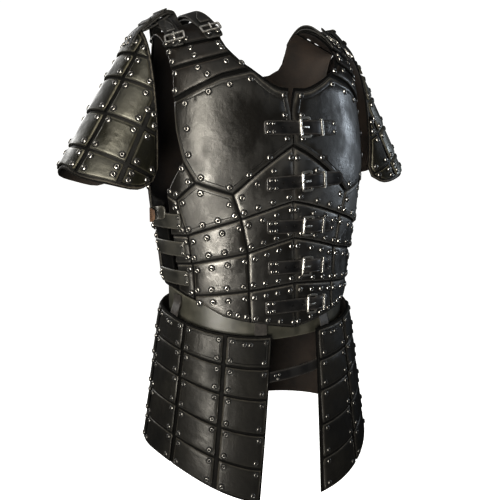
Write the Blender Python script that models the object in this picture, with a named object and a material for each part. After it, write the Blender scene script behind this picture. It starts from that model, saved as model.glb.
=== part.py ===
"""A worn leather brigandine: riveted plates on leather shells, sleeves, a belt and two tassets.

Metres, +Z up. The origin is on the body's axis at shoulder height, the front faces -Y and the
wearer's left is +X. Every leather piece is cut flat, with its outline in degrees round the body and
shares of a named length, and is then bent onto the body, a sleeve or the skirt.
"""
import math

import bmesh
import bpy
from mathutils import Matrix, Vector

# Leather
PLATE = 0.0030            # thickness of a plate
BACKING = 0.0025          # thickness of a shell, sleeve lining or tasset lining
STRAP = 0.0030            # thickness of a strap
SEAM = 0.0030             # width of the groove between two plates
CLEARANCE = 0.0009        # air between two pieces that lie on each other
SEAT = 0.0004             # and where a strap or buckle is fastened down
NECK_SEAT = 0.0           # the same for the strap over the shoulder, whose bends are further apart

# Torso
CHEST_HALF_BREADTH = 0.208
CHEST_HALF_DEPTH = 0.134
WAIST_HALF_BREADTH = 0.177
WAIST_HALF_DEPTH = 0.121
CHEST_TOP = -0.100        # height where the shoulders begin
TORSO_DROP = 0.387        # from there down to the lowest edge at the front
SHOULDER_ARCH = 0.150     # from there up over to the top of the shoulder
SHOULDER_SET_BACK = 0.022
NECK_HALF_BREADTH = 0.100
SHOULDER_HALF_BREADTH = 0.205
NECK_HEIGHT = 0.043
SHOULDER_HEIGHT = 0.004
TORSO_DEGREE = 0.0029     # leather for one degree round the torso
SECTION_POWER = 2.3       # 2 is an ellipse, more is boxier

# Sleeves
SLEEVE_TOP = (0.1585, -0.029)     # axis at its top: out from the body, height
SLEEVE_HEM = (0.2700, -0.247)     # axis at its hem
SLEEVE_SET_BACK = 0.030
SLEEVE_TOP_RADIUS = 0.078
SLEEVE_HEM_RADIUS = 0.092
SLEEVE_LENGTH = 0.245
ARMHOLE_OUT = 0.222               # the sleeve is cut off in the plane of the armhole
SLEEVE_RIM = 0.006                # bare edge of the lining round the plates

# Tassets
SKIRT_TOP_HALF_BREADTH = 0.187
SKIRT_TOP_HALF_DEPTH = 0.128
SKIRT_HEM_HALF_BREADTH = 0.218
SKIRT_HEM_HALF_DEPTH = 0.165
SKIRT_TOP = -0.494                # height at the front
SKIRT_TOP_RISE = 0.040            # by which the side is higher than the front
SKIRT_DROP = 0.288
SKIRT_HEM_RISE = 0.080
SKIRT_DEGREE = 0.0030             # leather for one degree round the tassets
SKIRT_RIM = 0.003
SHINGLE = 0.0020                  # by which a plate's lower edge stands out over the next
SMALLEST_PLATE = 6 * SEAM * SEAM  # area of a cell that is too small for a plate

# Belt, straps and buckles
BELT_WIDTH = 0.048
BELT_TOP = -0.457                 # height at the front
BELT_RISE = 0.040
BACK_LEVELLING = 0.15             # more of it makes the belt's line more level at the back
STRAP_WIDTH = 0.025
NECK_STRAP_WIDTH = 0.030
SLEEVE_STRAP_WIDTH = 0.036
HANGER_WIDTH = 0.022
HANGER_STEP = 0.010               # above a tasset's edge, where a hanger turns outwards
HANGER_SEAT = 0.014               # below that edge, where it ends in the lining
TIE_WIDTH = 0.018
BUCKLE_WIDTH = 0.022
BUCKLE_HEIGHT = 0.035
BUCKLE_WIRE = 0.0032
STRAP_BULGE = 0.012

# Spacing of the bends in degrees, and their shares of a length, the same on all pieces of a form
TORSO_BEND = 11.25
TORSO_BENDS_DOWN = 10     # rows of bends in the torso's drop
ARCH_BENDS = 7            # and from the shoulder's start to its top
SKIRT_BEND = 16.0
SLEEVE_BEND = 24.0
BELT_STEPS = 32
ARMHOLE_STEPS = 18

# Half breadth and half depth of the torso: share of the drop, share of the way from waist to chest
TORSO_LEVELS = (
    # share down, breadth, depth
    (0.000, 0.74, 0.23),
    (0.155, 0.94, 0.85),
    (0.310, 1.00, 1.00),
    (0.490, 0.74, 0.77),
    (0.670, 0.36, 0.31),
    (0.853, 0.06, 0.00),
    (1.000, 0.00, 0.00),
)

# How far the front's closing line leans towards the wearer's right: share of the drop, degrees
LEAN = ((-0.30, 0.0), (0.00, 3.0), (0.25, 3.0), (0.43, 2.8), (0.60, 1.7), (0.80, 0.5), (1.00, 0.0))
LEAN_REACH = 75.0                 # degrees from the front centre at which the sides stay in place

# Outlines: degrees from the front's closing line, share of the torso's drop (below zero: of the arch)
NECKLINE = ((1.2, -0.067), (8.3, -0.067), (14.0, -0.113), (21.6, -0.187), (27.0, -0.260),
            (31.0, -0.367), (32.5, -0.473), (31.3, -0.600), (29.3, -0.800), (29.0, -0.970))
ARMHOLE = ((77.0, -0.970), (74.5, -0.550), (73.0, -0.270), (72.5, 0.020), (69.0, 0.130), (63.0, 0.258))
CENTRE_EDGE = 0.25
NECK_SPLIT = (CENTRE_EDGE, 0.05)  # the slit at the throat closes here
SIDE_EDGE = 79.0                  # rear edge of the front shell
BACK_EDGE = 84.0                  # front edge of the back shell, from the front centre
ARMPIT = (SIDE_EDGE, 0.398)
SIDE_FOOT = 0.820
BACK_FOOT = 0.800
CHEST_THROAT = ((1.2, -0.060), (8.3, -0.060), (14.0, -0.106), (21.6, -0.178))
CHEST_TOP_LINE = ((38.0, -0.153), (50.4, -0.088), (72.3, 0.018))
CHEST_SHOULDER = (54.3, 0.349)

# Rows of the belly: share of the drop at the centre, at the inner seam and at the outer seam
BELLY_ROWS = (
    # centre, inner seam, outer seam
    (0.192, 0.399, 0.423),
    (0.432, 0.502, 0.572),
    (0.592, 0.648, 0.693),
    (0.795, 0.814, 0.834),
    (1.000, 0.955, 0.853),
)
INNER_SEAM = (31.6, 27.8, 25.4, 26.2, 26.0)       # degrees, one for each line of the rows
OUTER_SEAM = (70.2, 64.6, 63.6, 64.0, 64.5)
FOOT_POINT = (43.0, 0.925)                        # where the lower edge bends
CHEST_APEX = (CENTRE_EDGE, BELLY_ROWS[0][0])
CHEST_LOW = (INNER_SEAM[0], BELLY_ROWS[0][1])
ARMPIT_PLATE_LOW = (OUTER_SEAM[0], BELLY_ROWS[0][2])

# Lines of the shoulder plates: share of the arch at the neckline and at the armhole
LAME_LINES = ((-0.225, 0.000), (-0.340, -0.273), (-0.505, -0.520), (-0.930, -0.930))
LAME_NECK = (24.0, 31.0, 32.0, 29.2)
LAME_ARM = (72.3, 72.8, 74.2, 76.8)
LAME_NECK_CORNER = (27.0, -0.262)                 # further corners of the lowest one
LAME_FOOT_LINE = ((50.4, -0.108), (38.0, -0.175))

# Back: share of the drop (below zero: of the arch) between its plates
BACK_LINES = (-0.93, 0.35, 0.57, 0.79)
BACK_PLATE_EDGE = 101.0
BACK_COLLAR = ((180.0, -0.22), (166.0, -0.24), (155.0, -0.30))
BACK_COLLAR_TOP = -0.3            # where the neckline takes over from it
BACK_ARMPIT = (BACK_EDGE + 12.0, 0.33)
BACK_PLATE_NECK = ((180.0, -0.18), (166.0, -0.20), (153.0, -0.27), (148.5, -0.42), (150.0, BACK_LINES[0]))
BACK_PLATE_ARM = ((106.0, BACK_LINES[0]), (109.0, -0.27), (110.0, 0.02), (113.5, 0.13), (119.5, 0.262))

FRONT_STRAPS = (
    # degrees and share where it begins, degrees and share where it ends, degrees of its buckle
    (-14.4, 0.124, 22.2, 0.115, 4.0),
    (-13.6, 0.358, 22.8, 0.334, 4.3),
    (-14.3, 0.539, 22.5, 0.543, 4.9),
    (-14.6, 0.717, 22.0, 0.727, 4.8),
    (-16.9, 0.894, 20.5, 0.901, 8.2),
)
SIDE_STRAPS = (0.512, 0.631, 0.760)
SIDE_STRAP_ENDS = (67.5, 98.5)
NECK_STRAP = (35.0, -0.640)       # degrees, share of the arch where it begins
LOOP_SEAT = (42.0, 45.5)          # degrees between which the sleeve's strap lies on the shoulder
LOOP = ((0.155, 0.042), (0.162, 0.0485), (0.177, 0.049), (0.193, 0.0405), (0.212, 0.0255))
LOOP_END = (0.01, 0.14)           # shares of the sleeve's length between which it lies on the sleeve

# Rows of a sleeve and of a tasset: share of its length. Columns: degrees
SLEEVE_ROWS = (0.16, 0.345, 0.60, 0.86)
SLEEVE_COLUMNS = (-73.0, -29.0, 29.0, 73.0)
SLEEVE_REACH = 108.0
SLEEVE_HEM_LINE = ((0.0, 1.02), (35.0, 1.05), (68.0, 1.02), (94.0, 0.975), (SLEEVE_REACH, 0.88))
SKIRT_ROWS = (0.195, 0.38, 0.59, 0.795)
TASSET_COLUMNS = {
    # side: degrees at the top and at the hem
    "right": ((13.0, 22.5), (41.0, 46.5), (71.0, 74.0), (101.0, 103.0), (134.0, 134.0), (168.0, 167.0)),
    "left": ((11.0, 6.0), (37.0, 33.0), (67.0, 65.0), (98.0, 97.0), (132.0, 132.0), (168.0, 167.0)),
}
HANGERS = (19.0, 86.0, 151.0)
TIE_SHARES = ((-24.0, 0.262), (17.0, 0.215))

SIDES = {"right": -1, "left": 1}
FOOT = ((CENTRE_EDGE, BELLY_ROWS[-1][0]), (INNER_SEAM[-1], BELLY_ROWS[-1][1]), FOOT_POINT,
        (OUTER_SEAM[-1], BELLY_ROWS[-1][2]), (SIDE_EDGE, SIDE_FOOT))
BACK_FOOT_LINE = ((SIDE_EDGE, SIDE_FOOT), (BACK_EDGE, SIDE_FOOT), (180.0, BACK_FOOT))
LEATHER_OUT = -PLATE - CLEARANCE              # outer face of a shell, inwards from the plates' face


def interpolate(rows, place, column):
    """Smooth value of a table's column at a place in its first column."""
    if place <= rows[0][0]:
        return rows[0][column]
    if place >= rows[-1][0]:
        return rows[-1][column]
    index = max(i for i, row in enumerate(rows) if row[0] <= place)
    low, high = rows[index], rows[index + 1]
    before = rows[max(index - 1, 0)]
    after = rows[min(index + 2, len(rows) - 1)]
    span = high[0] - low[0]
    u = (place - low[0]) / span
    slope_low = (high[column] - before[column]) / (high[0] - before[0]) * span
    slope_high = (after[column] - low[column]) / (after[0] - low[0]) * span
    return ((2 * u**3 - 3 * u**2 + 1) * low[column] + (u**3 - 2 * u**2 + u) * slope_low
            + (3 * u**2 - 2 * u**3) * high[column] + (u**3 - u**2) * slope_high)


def section(half_breadth, half_depth, degrees):
    """Point of a body section, a little boxier than an ellipse; zero degrees is the front."""
    power = 2 / SECTION_POWER
    sine, cosine = math.sin(math.radians(degrees)), math.cos(math.radians(degrees))
    return (half_breadth * math.copysign(abs(sine) ** power, sine),
            -half_depth * math.copysign(abs(cosine) ** power, cosine))


def torso_point(degrees, share):
    """Point of the plates' outer face; a share below -1 has passed over the shoulder's top."""
    if share < -1:
        degrees, share = 180 - degrees, -2 - share
    level = max(share, 0)
    half_breadth = WAIST_HALF_BREADTH + (CHEST_HALF_BREADTH - WAIST_HALF_BREADTH) * \
        interpolate(TORSO_LEVELS, level, 1)
    half_depth = WAIST_HALF_DEPTH + (CHEST_HALF_DEPTH - WAIST_HALF_DEPTH) * \
        interpolate(TORSO_LEVELS, level, 2)
    x, y = section(half_breadth, half_depth, degrees)
    if share >= 0:
        return Vector((x, y, CHEST_TOP - share * TORSO_DROP))
    turn = -share * math.pi / 2
    out = (abs(x) - NECK_HALF_BREADTH) / (SHOULDER_HALF_BREADTH - NECK_HALF_BREADTH)
    top = NECK_HEIGHT + (SHOULDER_HEIGHT - NECK_HEIGHT) * out
    return Vector((x, SHOULDER_SET_BACK - (SHOULDER_SET_BACK - y) * math.cos(turn),
                   CHEST_TOP + (top - CHEST_TOP) * math.sin(turn)))


def lean(degrees, share):
    """Degrees by which the front is drawn towards the wearer's right at a place on it."""
    if abs(degrees) > LEAN_REACH:
        return 0.0
    return interpolate(LEAN, share, 1) * math.cos(math.pi / 2 * degrees / LEAN_REACH) ** 2


def dip(degrees):
    """Share by which a sloping line has risen from the front to a place round the body."""
    tilt = 1 - math.cos(math.radians(degrees))
    return tilt / (1 + BACK_LEVELLING * tilt ** 2)


def skirt_point(degrees, share):
    """Point of the tasset plates' outer face."""
    half_breadth = SKIRT_TOP_HALF_BREADTH + (SKIRT_HEM_HALF_BREADTH - SKIRT_TOP_HALF_BREADTH) * share
    half_depth = SKIRT_TOP_HALF_DEPTH + (SKIRT_HEM_HALF_DEPTH - SKIRT_TOP_HALF_DEPTH) * share
    x, y = section(half_breadth, half_depth, degrees)
    top = SKIRT_TOP + SKIRT_TOP_RISE * dip(degrees)
    quarter = min(abs(degrees), 90)
    hem = SKIRT_TOP - SKIRT_DROP + SKIRT_HEM_RISE * math.sin(math.radians(quarter)) ** 2
    return Vector((x, y, top + (hem - top) * share))


def sleeve_point(degrees, share):
    """Point of the left sleeve's plates; zero degrees is the outer side and 90 the front."""
    top = Vector((SLEEVE_TOP[0], SLEEVE_SET_BACK, SLEEVE_TOP[1]))
    axis = Vector((SLEEVE_HEM[0], SLEEVE_SET_BACK, SLEEVE_HEM[1])) - top
    out = Vector((-axis.z, 0, axis.x)).normalized()
    radius = SLEEVE_TOP_RADIUS + (SLEEVE_HEM_RADIUS - SLEEVE_TOP_RADIUS) * share
    angle = math.radians(degrees)
    return top + axis * share + radius * (out * math.cos(angle) - Vector((0, 1, 0)) * math.sin(angle))


def sleeve_start(degrees):
    """Share of the sleeve's length at which the armhole's plane cuts it."""
    low, high = -0.2, 1.0
    for _ in range(30):
        middle = (low + high) / 2
        if sleeve_point(degrees, middle).x < ARMHOLE_OUT:
            low = middle
        else:
            high = middle
    return high


class Form:
    """A form that flat leather is bent onto: a point function and the scales of the flat pattern."""

    def __init__(self, point, per_degree, drop, bend_degrees, arch=None, levels=(), outward=1, lean=None):
        self.point = point
        self.lean = lean
        self.outward = outward
        self.per_degree = per_degree
        self.drop = drop
        self.arch = arch or drop
        self.bend_degrees = bend_degrees
        self.levels = levels

    def flat(self, degrees, share):
        """Place in the flat pattern, in metres."""
        return Vector((degrees * self.per_degree, -share * (self.drop if share >= 0 else self.arch), 0))

    def bend(self, place, side):
        """Place of a flat pattern's point on the body; its height is measured outwards."""
        degrees = place.x / self.per_degree
        share = -place.y / (self.drop if place.y <= 0 else self.arch)
        if self.lean:
            degrees -= side * self.lean(degrees, share)
        step = 0.2
        across = self.point(degrees + step, share) - self.point(degrees - step, share)
        along = self.point(degrees, share + 0.003) - self.point(degrees, share - 0.003)
        normal = along.cross(across).normalized() * self.outward
        spot = self.point(degrees, share) + normal * place.z
        return Vector((spot.x * side, spot.y, spot.z))


TORSO_ROWS = [row / TORSO_BENDS_DOWN for row in range(TORSO_BENDS_DOWN)]
TORSO_ROWS += [-row / ARCH_BENDS for row in range(1, 2 * ARCH_BENDS)]
TORSO = Form(torso_point, TORSO_DEGREE, TORSO_DROP, TORSO_BEND, SHOULDER_ARCH, TORSO_ROWS, lean=lean)
SKIRT = Form(skirt_point, SKIRT_DEGREE, SKIRT_DROP, SKIRT_BEND)
SLEEVE = Form(sleeve_point, math.radians(1) * SLEEVE_HEM_RADIUS, SLEEVE_LENGTH, SLEEVE_BEND, outward=-1)


def make_material(name, color, roughness, metallic=0.0):
    """Principled material with the piece's colour."""
    material = bpy.data.materials.new(name)
    material.use_nodes = True
    shader = material.node_tree.nodes["Principled BSDF"]
    shader.inputs["Base Color"].default_value = (*color, 1)
    shader.inputs["Roughness"].default_value = roughness
    shader.inputs["Metallic"].default_value = metallic
    return material


def keep_object(name, bm, material):
    """Object with the mesh, its faces pointing out."""
    bmesh.ops.recalc_face_normals(bm, faces=bm.faces)
    if bm.calc_volume(signed=True) < 0:
        bmesh.ops.reverse_faces(bm, faces=bm.faces)
    mesh = bpy.data.meshes.new(name)
    bm.to_mesh(mesh)
    bm.free()
    own = material.copy()
    own.name = name + "_finish"
    mesh.materials.append(own)
    thing = bpy.data.objects.new(name, mesh)
    bpy.context.scene.collection.objects.link(thing)
    return thing


def add_bends(bm, form):
    """Cut the flat pattern where it will be bent, on lines that all pieces share."""
    step = form.bend_degrees * form.per_degree
    low = min(vertex.co.x for vertex in bm.verts)
    high = max(vertex.co.x for vertex in bm.verts)
    cuts = [(Vector((line * step, 0, 0)), Vector((1, 0, 0)))
            for line in range(math.ceil(low / step), math.ceil(high / step))]
    cuts += [(form.flat(0, share), Vector((0, 1, 0))) for share in form.levels]
    for spot, direction in cuts:
        geometry = bm.verts[:] + bm.edges[:] + bm.faces[:]
        bmesh.ops.bisect_plane(bm, geom=geometry, plane_co=spot, plane_no=direction, dist=1e-5)


def bend_all(bm, form, side):
    """Bend the flat piece onto its form."""
    for vertex in bm.verts:
        vertex.co = form.bend(vertex.co, side)


def flat_face(form, outline):
    """Flat pattern with one face, facing up."""
    bm = bmesh.new()
    face = bm.faces.new([bm.verts.new(form.flat(*spot)) for spot in outline])
    face.normal_update()
    if face.normal.z < 0:
        face.normal_flip()
    return bm


def leather_piece(name, form, outline, inner, thickness, side, material, margin=0.0, lift=None):
    """Piece of leather: its outline, the height of its inner face over the form, and its thickness."""
    bm = flat_face(form, outline)
    if margin:
        rim = bmesh.ops.inset_region(bm, faces=bm.faces[:], thickness=margin, use_boundary=True)
        bmesh.ops.delete(bm, geom=rim["faces"], context="FACES")
    add_bends(bm, form)
    raised = bmesh.ops.extrude_face_region(bm, geom=bm.faces[:])
    outer = {v for v in raised["geom"] if isinstance(v, bmesh.types.BMVert)}
    for vertex in bm.verts:
        bulge = lift(vertex.co) if lift else 0.0
        vertex.co.z = inner + bulge + (thickness if vertex in outer else 0.0)
    bend_all(bm, form, side)
    return keep_object(name, bm, material)


def torso_plate(name, outline, side, material):
    """Plate of the torso, drawn in by half a groove all round."""
    return leather_piece(name, TORSO, outline, -PLATE, PLATE, side, material, margin=SEAM / 2)


def front_shell(side_name, side, material):
    """Leather shell of half the front, with its neckline, armhole and pointed foot."""
    outline = [NECK_SPLIT, *NECKLINE, *ARMHOLE, ARMPIT, *reversed(FOOT)]
    leather_piece(f"front_shell_{side_name}", TORSO, outline, LEATHER_OUT - BACKING, BACKING, side, material)


def back_shell(material):
    """Leather shell of the back, from one side gap to the other."""
    neck = [(180 - degrees, share) for degrees, share in NECKLINE if share < BACK_COLLAR_TOP]
    half = [(180 - degrees, share) for degrees, share in ARMHOLE]
    half += [BACK_ARMPIT, (BACK_EDGE, ARMPIT[1]), (BACK_EDGE, SIDE_FOOT), (180.0, BACK_FOOT)]
    edge = [*BACK_COLLAR, *neck, *half]
    outline = edge + [(360 - degrees, share) for degrees, share in reversed(edge[1:-1])]
    leather_piece("back_shell", TORSO, outline, LEATHER_OUT - BACKING, BACKING, 1, material)


def chest_plate(side_name, side, material):
    """Large plate of the chest, pointed at the throat slit and at its lower corner."""
    throat = [CHEST_APEX, NECK_SPLIT, *CHEST_THROAT]
    outline = [*throat, *CHEST_TOP_LINE, *ARMHOLE[-2:], CHEST_SHOULDER, CHEST_LOW]
    torso_plate(f"chest_plate_{side_name}", outline, side, material)


def armpit_plate(side_name, side, material):
    """Small four-cornered plate between the armhole and the side."""
    outline = [ARMHOLE[-1], ARMPIT, ARMPIT_PLATE_LOW, CHEST_SHOULDER]
    torso_plate(f"armpit_plate_{side_name}", outline, side, material)


def belly_plates(side_name, side, material):
    """Four rows of plates below the chest, a centre and a middle one in each."""
    for row in range(len(BELLY_ROWS) - 1):
        top, low = BELLY_ROWS[row], BELLY_ROWS[row + 1]
        inner_top, inner_low = (INNER_SEAM[row], top[1]), (INNER_SEAM[row + 1], low[1])
        outer_top, outer_low = (OUTER_SEAM[row], top[2]), (OUTER_SEAM[row + 1], low[2])
        centre = [(CENTRE_EDGE, top[0]), inner_top, inner_low, (CENTRE_EDGE, low[0])]
        torso_plate(f"belly_centre_{row + 1}_{side_name}", centre, side, material)
        middle = [inner_top, outer_top, outer_low, inner_low]
        if row == 0:
            middle.insert(1, CHEST_SHOULDER)
        if row == len(BELLY_ROWS) - 2:
            middle.insert(3, FOOT_POINT)
        torso_plate(f"belly_middle_{row + 1}_{side_name}", middle, side, material)


def side_plate(side_name, side, material):
    """Strip along the side opening."""
    seam = [(OUTER_SEAM[i], BELLY_ROWS[i][2]) for i in range(len(BELLY_ROWS))]
    outline = [ARMPIT, (SIDE_EDGE, SIDE_FOOT), *reversed(seam)]
    torso_plate(f"side_plate_{side_name}", outline, side, material)


def shoulder_lames(side_name, side, material):
    """Three overlapping bands of the shoulder, from the chest plate up to its top."""
    names = ("lower_lame", "upper_lame", "cap_lame")
    for index, name in enumerate(names):
        (neck_low, arm_low), (neck_high, arm_high) = LAME_LINES[index], LAME_LINES[index + 1]
        outline = [(LAME_NECK[index], neck_low), (LAME_NECK[index + 1], neck_high),
                   (LAME_ARM[index + 1], arm_high), (LAME_ARM[index], arm_low)]
        if index == 0:
            outline.insert(1, LAME_NECK_CORNER)
            outline += LAME_FOOT_LINE
        torso_plate(f"{name}_{side_name}", outline, side, material)


def back_plates(material):
    """Three broad plates of the back."""
    for index, name in enumerate(("upper_back_plate", "middle_back_plate", "lower_back_plate")):
        top, low = BACK_LINES[index], BACK_LINES[index + 1]
        if index == 0:
            edge = [*BACK_PLATE_NECK, *BACK_PLATE_ARM, (BACK_PLATE_EDGE, low)]
        else:
            edge = [(180.0, top), (BACK_PLATE_EDGE, top), (BACK_PLATE_EDGE, low)]
        edge.append((180.0, low))
        outline = edge + [(360 - degrees, share) for degrees, share in reversed(edge[1:-1])]
        torso_plate(name, outline, 1, material)


def plated_sheet(name, form, outline, rim, rows, columns, side, material):
    """Leather lining with raised plates on it in rows and columns, as one body.

    A plate stands out more at its lower edge, as an overlapping one does. The columns are given as
    degrees at the top and at the hem.
    """
    bm = flat_face(form, outline)
    bmesh.ops.inset_region(bm, faces=bm.faces[:], thickness=rim, use_boundary=True)
    max(bm.faces, key=lambda face: face.calc_area()).material_index = 1
    add_bends(bm, form)
    cuts = [(form.flat(0, row), Vector((0, 1, 0))) for row in rows]
    for top, hem in columns:
        start, end = form.flat(top, 0), form.flat(hem, 1)
        along = end - start
        cuts.append((start, Vector((-along.y, along.x, 0)).normalized()))
    for spot, direction in cuts:
        geometry = bm.verts[:] + bm.edges[:] + bm.faces[:]
        bmesh.ops.bisect_plane(bm, geom=geometry, plane_co=spot, plane_no=direction, dist=2e-5)
    lining = bmesh.ops.extrude_face_region(bm, geom=bm.faces[:])
    for vertex in lining["geom"]:
        if isinstance(vertex, bmesh.types.BMVert):
            vertex.co.z = -BACKING
    bm.normal_update()
    cells = {}
    for face in bm.faces:
        centre = face.calc_center_median()
        if face.material_index != 1 or centre.z < -BACKING / 4:
            continue
        sides = tuple((centre - spot).dot(direction) > 0 for spot, direction in cuts)
        cells.setdefault(sides, []).append(face)
    for faces in cells.values():
        if sum(face.calc_area() for face in faces) < SMALLEST_PLATE:
            continue
        bmesh.ops.inset_region(bm, faces=faces, thickness=SEAM / 2, use_even_offset=True)
        share = -faces[0].calc_center_median().y / form.drop
        top = max([row for row in rows if row <= share], default=0.0)
        low = min([row for row in rows if row > share], default=1.0)
        for vertex in {v for face in faces for v in face.verts}:
            fraction = min(max((-vertex.co.y / form.drop - top) / (low - top), 0), 1)
            vertex.co.z = PLATE + SHINGLE * (fraction - 0.5)
    for face in bm.faces:
        face.material_index = 0
    for vertex in bm.verts:
        vertex.co.z -= PLATE
    bend_all(bm, form, side)
    return keep_object(name, bm, material)


def sleeve(side_name, side, material):
    """Sleeve of riveted plates, open under the arm and cut off at the armhole."""
    start = [SLEEVE_REACH * (1 - 2 * index / ARMHOLE_STEPS) for index in range(ARMHOLE_STEPS + 1)]
    outline = [(degrees, sleeve_start(degrees)) for degrees in start]
    outline += [(-degrees, share) for degrees, share in reversed(SLEEVE_HEM_LINE)]
    outline += SLEEVE_HEM_LINE[1:]
    columns = [(degrees, degrees) for degrees in SLEEVE_COLUMNS]
    plated_sheet(f"sleeve_{side_name}", SLEEVE, outline, SLEEVE_RIM, SLEEVE_ROWS, columns, side, material)


def ribbon(path, thickness):
    """Closed outline of a strap seen edge on, from the middle line of its thickness."""
    left, right = [], []
    for index, spot in enumerate(path):
        before = path[max(index - 1, 0)]
        after = path[min(index + 1, len(path) - 1)]
        direction = (Vector(after) - Vector(before)).normalized()
        offset = Vector((-direction.y, direction.x)) * thickness / 2
        left.append(Vector(spot) + offset)
        right.append(Vector(spot) - offset)
    return left + right[::-1]


def loft(sections):
    """Closed body through sections with as many points each."""
    bm = bmesh.new()
    rings = [[bm.verts.new(spot) for spot in ring] for ring in sections]
    for one, two in zip(rings, rings[1:]):
        for index in range(len(one)):
            following = (index + 1) % len(one)
            bm.faces.new((one[index], one[following], two[following], two[index]))
    bm.faces.new(rings[0])
    bm.faces.new(reversed(rings[-1]))
    return bm


def waist_frame(degrees):
    """Point of the torso's lower section and the direction straight out of it."""
    spot = torso_point(degrees, 1.0)
    ahead = torso_point(degrees + 0.5, 1.0) - torso_point(degrees - 0.5, 1.0)
    return spot, Vector((-ahead.y, ahead.x, 0)).normalized() * -1


BELT_OUT = LEATHER_OUT - BACKING - CLEARANCE  # outer face of the belt, just inside the shells


def belt_height(degrees):
    """Height of the belt's upper edge."""
    return BELT_TOP + BELT_RISE * dip(degrees)


def belt(material):
    """Closed leather belt under the shells' lower edge."""
    bm = bmesh.new()
    rings = []
    for index in range(BELT_STEPS):
        degrees = 360 * index / BELT_STEPS
        spot, out = waist_frame(degrees)
        top = belt_height(degrees)
        corners = ((BELT_OUT, top), (BELT_OUT, top - BELT_WIDTH),
                   (BELT_OUT - STRAP, top - BELT_WIDTH), (BELT_OUT - STRAP, top))
        rings.append([bm.verts.new((spot.x + out.x * r, spot.y + out.y * r, z)) for r, z in corners])
    for index, one in enumerate(rings):
        two = rings[(index + 1) % BELT_STEPS]
        for corner in range(4):
            following = (corner + 1) % 4
            bm.faces.new((one[corner], one[following], two[following], two[corner]))
    keep_object("belt", bm, material)


def shell_foot(degrees):
    """Height of the shells' lower edge."""
    degrees = abs(degrees)
    foot = FOOT if degrees < SIDE_EDGE else BACK_FOOT_LINE
    for (low_degrees, low_share), (high_degrees, high_share) in zip(foot, foot[1:]):
        if degrees <= high_degrees:
            break
    fraction = (degrees - low_degrees) / (high_degrees - low_degrees)
    return CHEST_TOP - TORSO_DROP * (low_share + (high_share - low_share) * fraction)


def hanger_body(degrees):
    """Leather tab from the belt's face, clear of the shells, out and down into a tasset's lining."""
    half_turn = HANGER_WIDTH / 2 / TORSO.per_degree
    sections = []
    for angle in (degrees - half_turn, degrees, degrees + half_turn):
        spot, out = waist_frame(angle)
        skirt = skirt_point(angle, 0)
        reach = (Vector((skirt.x, skirt.y, 0)) - Vector((spot.x, spot.y, 0))).dot(out)
        lining = reach - PLATE - BACKING / 2
        face = BELT_OUT + CLEARANCE + BACKING / 2
        top = min(belt_height(angle), shell_foot(angle)) - 2 * BACKING
        path = ((face, top), (face, min(top - BACKING, skirt.z + HANGER_STEP)),
                (lining, skirt.z - BACKING), (lining, skirt.z - HANGER_SEAT))
        sections.append([(spot.x + out.x * r, spot.y + out.y * r, z) for r, z in ribbon(path, BACKING)])
    return loft(sections)


def tasset(side_name, side, material):
    """One skirt of riveted plates with its three hangers."""
    columns = TASSET_COLUMNS[side_name]
    top = [(column[0], 0.0) for column in columns]
    hem = [(column[1], 1.0) for column in columns]
    outline = top + hem[::-1]
    skirt = plated_sheet(f"tasset_{side_name}", SKIRT, outline, SKIRT_RIM, SKIRT_ROWS, columns[1:-1],
                         side, material)
    for index, degrees in enumerate(HANGERS):
        bm = hanger_body(side * degrees)
        loop = keep_object(f"hanger_{index + 1}_{side_name}", bm, material)
        loop.hide_render = True
        loop.display_type = "WIRE"
        loop.parent = skirt
        joined = skirt.modifiers.new(f"Hanger {index + 1}", "BOOLEAN")
        joined.operation = "UNION"
        joined.solver = "EXACT"
        joined.object = loop


def front_straps(leather, steel):
    """Five straps across the front opening, each with its buckle."""
    half = STRAP_WIDTH / 2 / TORSO_DROP
    for index, (start, first, end, last, at) in enumerate(FRONT_STRAPS):
        outline = [(start, first - half), (end, last - half), (end, last + half), (start, first + half)]
        leather_piece(f"front_strap_{index + 1}", TORSO, outline, CLEARANCE, STRAP, 1, leather)
        slope = (last - first) / (end - start)
        buckle(f"front_buckle_{index + 1}", at, first + slope * (at - start), slope, steel)


def buckle(name, degrees, share, slope, material):
    """Rectangular wire frame with its prong, lying on a strap."""
    wire = BUCKLE_WIRE
    bm = bmesh.new()
    bmesh.ops.create_grid(bm, x_segments=1, y_segments=2, size=0.5)
    bmesh.ops.scale(bm, vec=(BUCKLE_WIDTH - wire, BUCKLE_HEIGHT - wire, 1), verts=bm.verts)
    windows = bm.faces[:]
    corners = [vertex for vertex in bm.verts if abs(vertex.co.y) > wire]
    sides = bm.verts[:]
    bmesh.ops.inset_individual(bm, faces=windows, thickness=wire / 2)
    bmesh.ops.delete(bm, geom=windows, context="FACES_ONLY")
    for vertex in sides:
        vertex.co.x += math.copysign(wire / 2, vertex.co.x)
    for vertex in corners:
        vertex.co.y += math.copysign(wire / 2, vertex.co.y)
    frame = bmesh.ops.extrude_face_region(bm, geom=bm.faces[:])
    for vertex in frame["geom"]:
        if isinstance(vertex, bmesh.types.BMVert):
            vertex.co.z = wire
    spot = TORSO.bend(TORSO.flat(degrees, share) + Vector((0, 0, CLEARANCE + STRAP + SEAT)), 1)
    ahead = TORSO.bend(TORSO.flat(degrees + 1, share + slope), 1) - \
        TORSO.bend(TORSO.flat(degrees - 1, share - slope), 1)
    below, above = (TORSO.bend(TORSO.flat(degrees, share + step), 1) for step in (0.02, -0.02))
    down = below - above
    x_axis = ahead.normalized()
    out = down.cross(x_axis).normalized()
    thing = keep_object(name, bm, material)
    thing.location = spot
    from_axes = Matrix((x_axis, out.cross(x_axis), out)).transposed()
    thing.rotation_euler = from_axes.to_euler()


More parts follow.
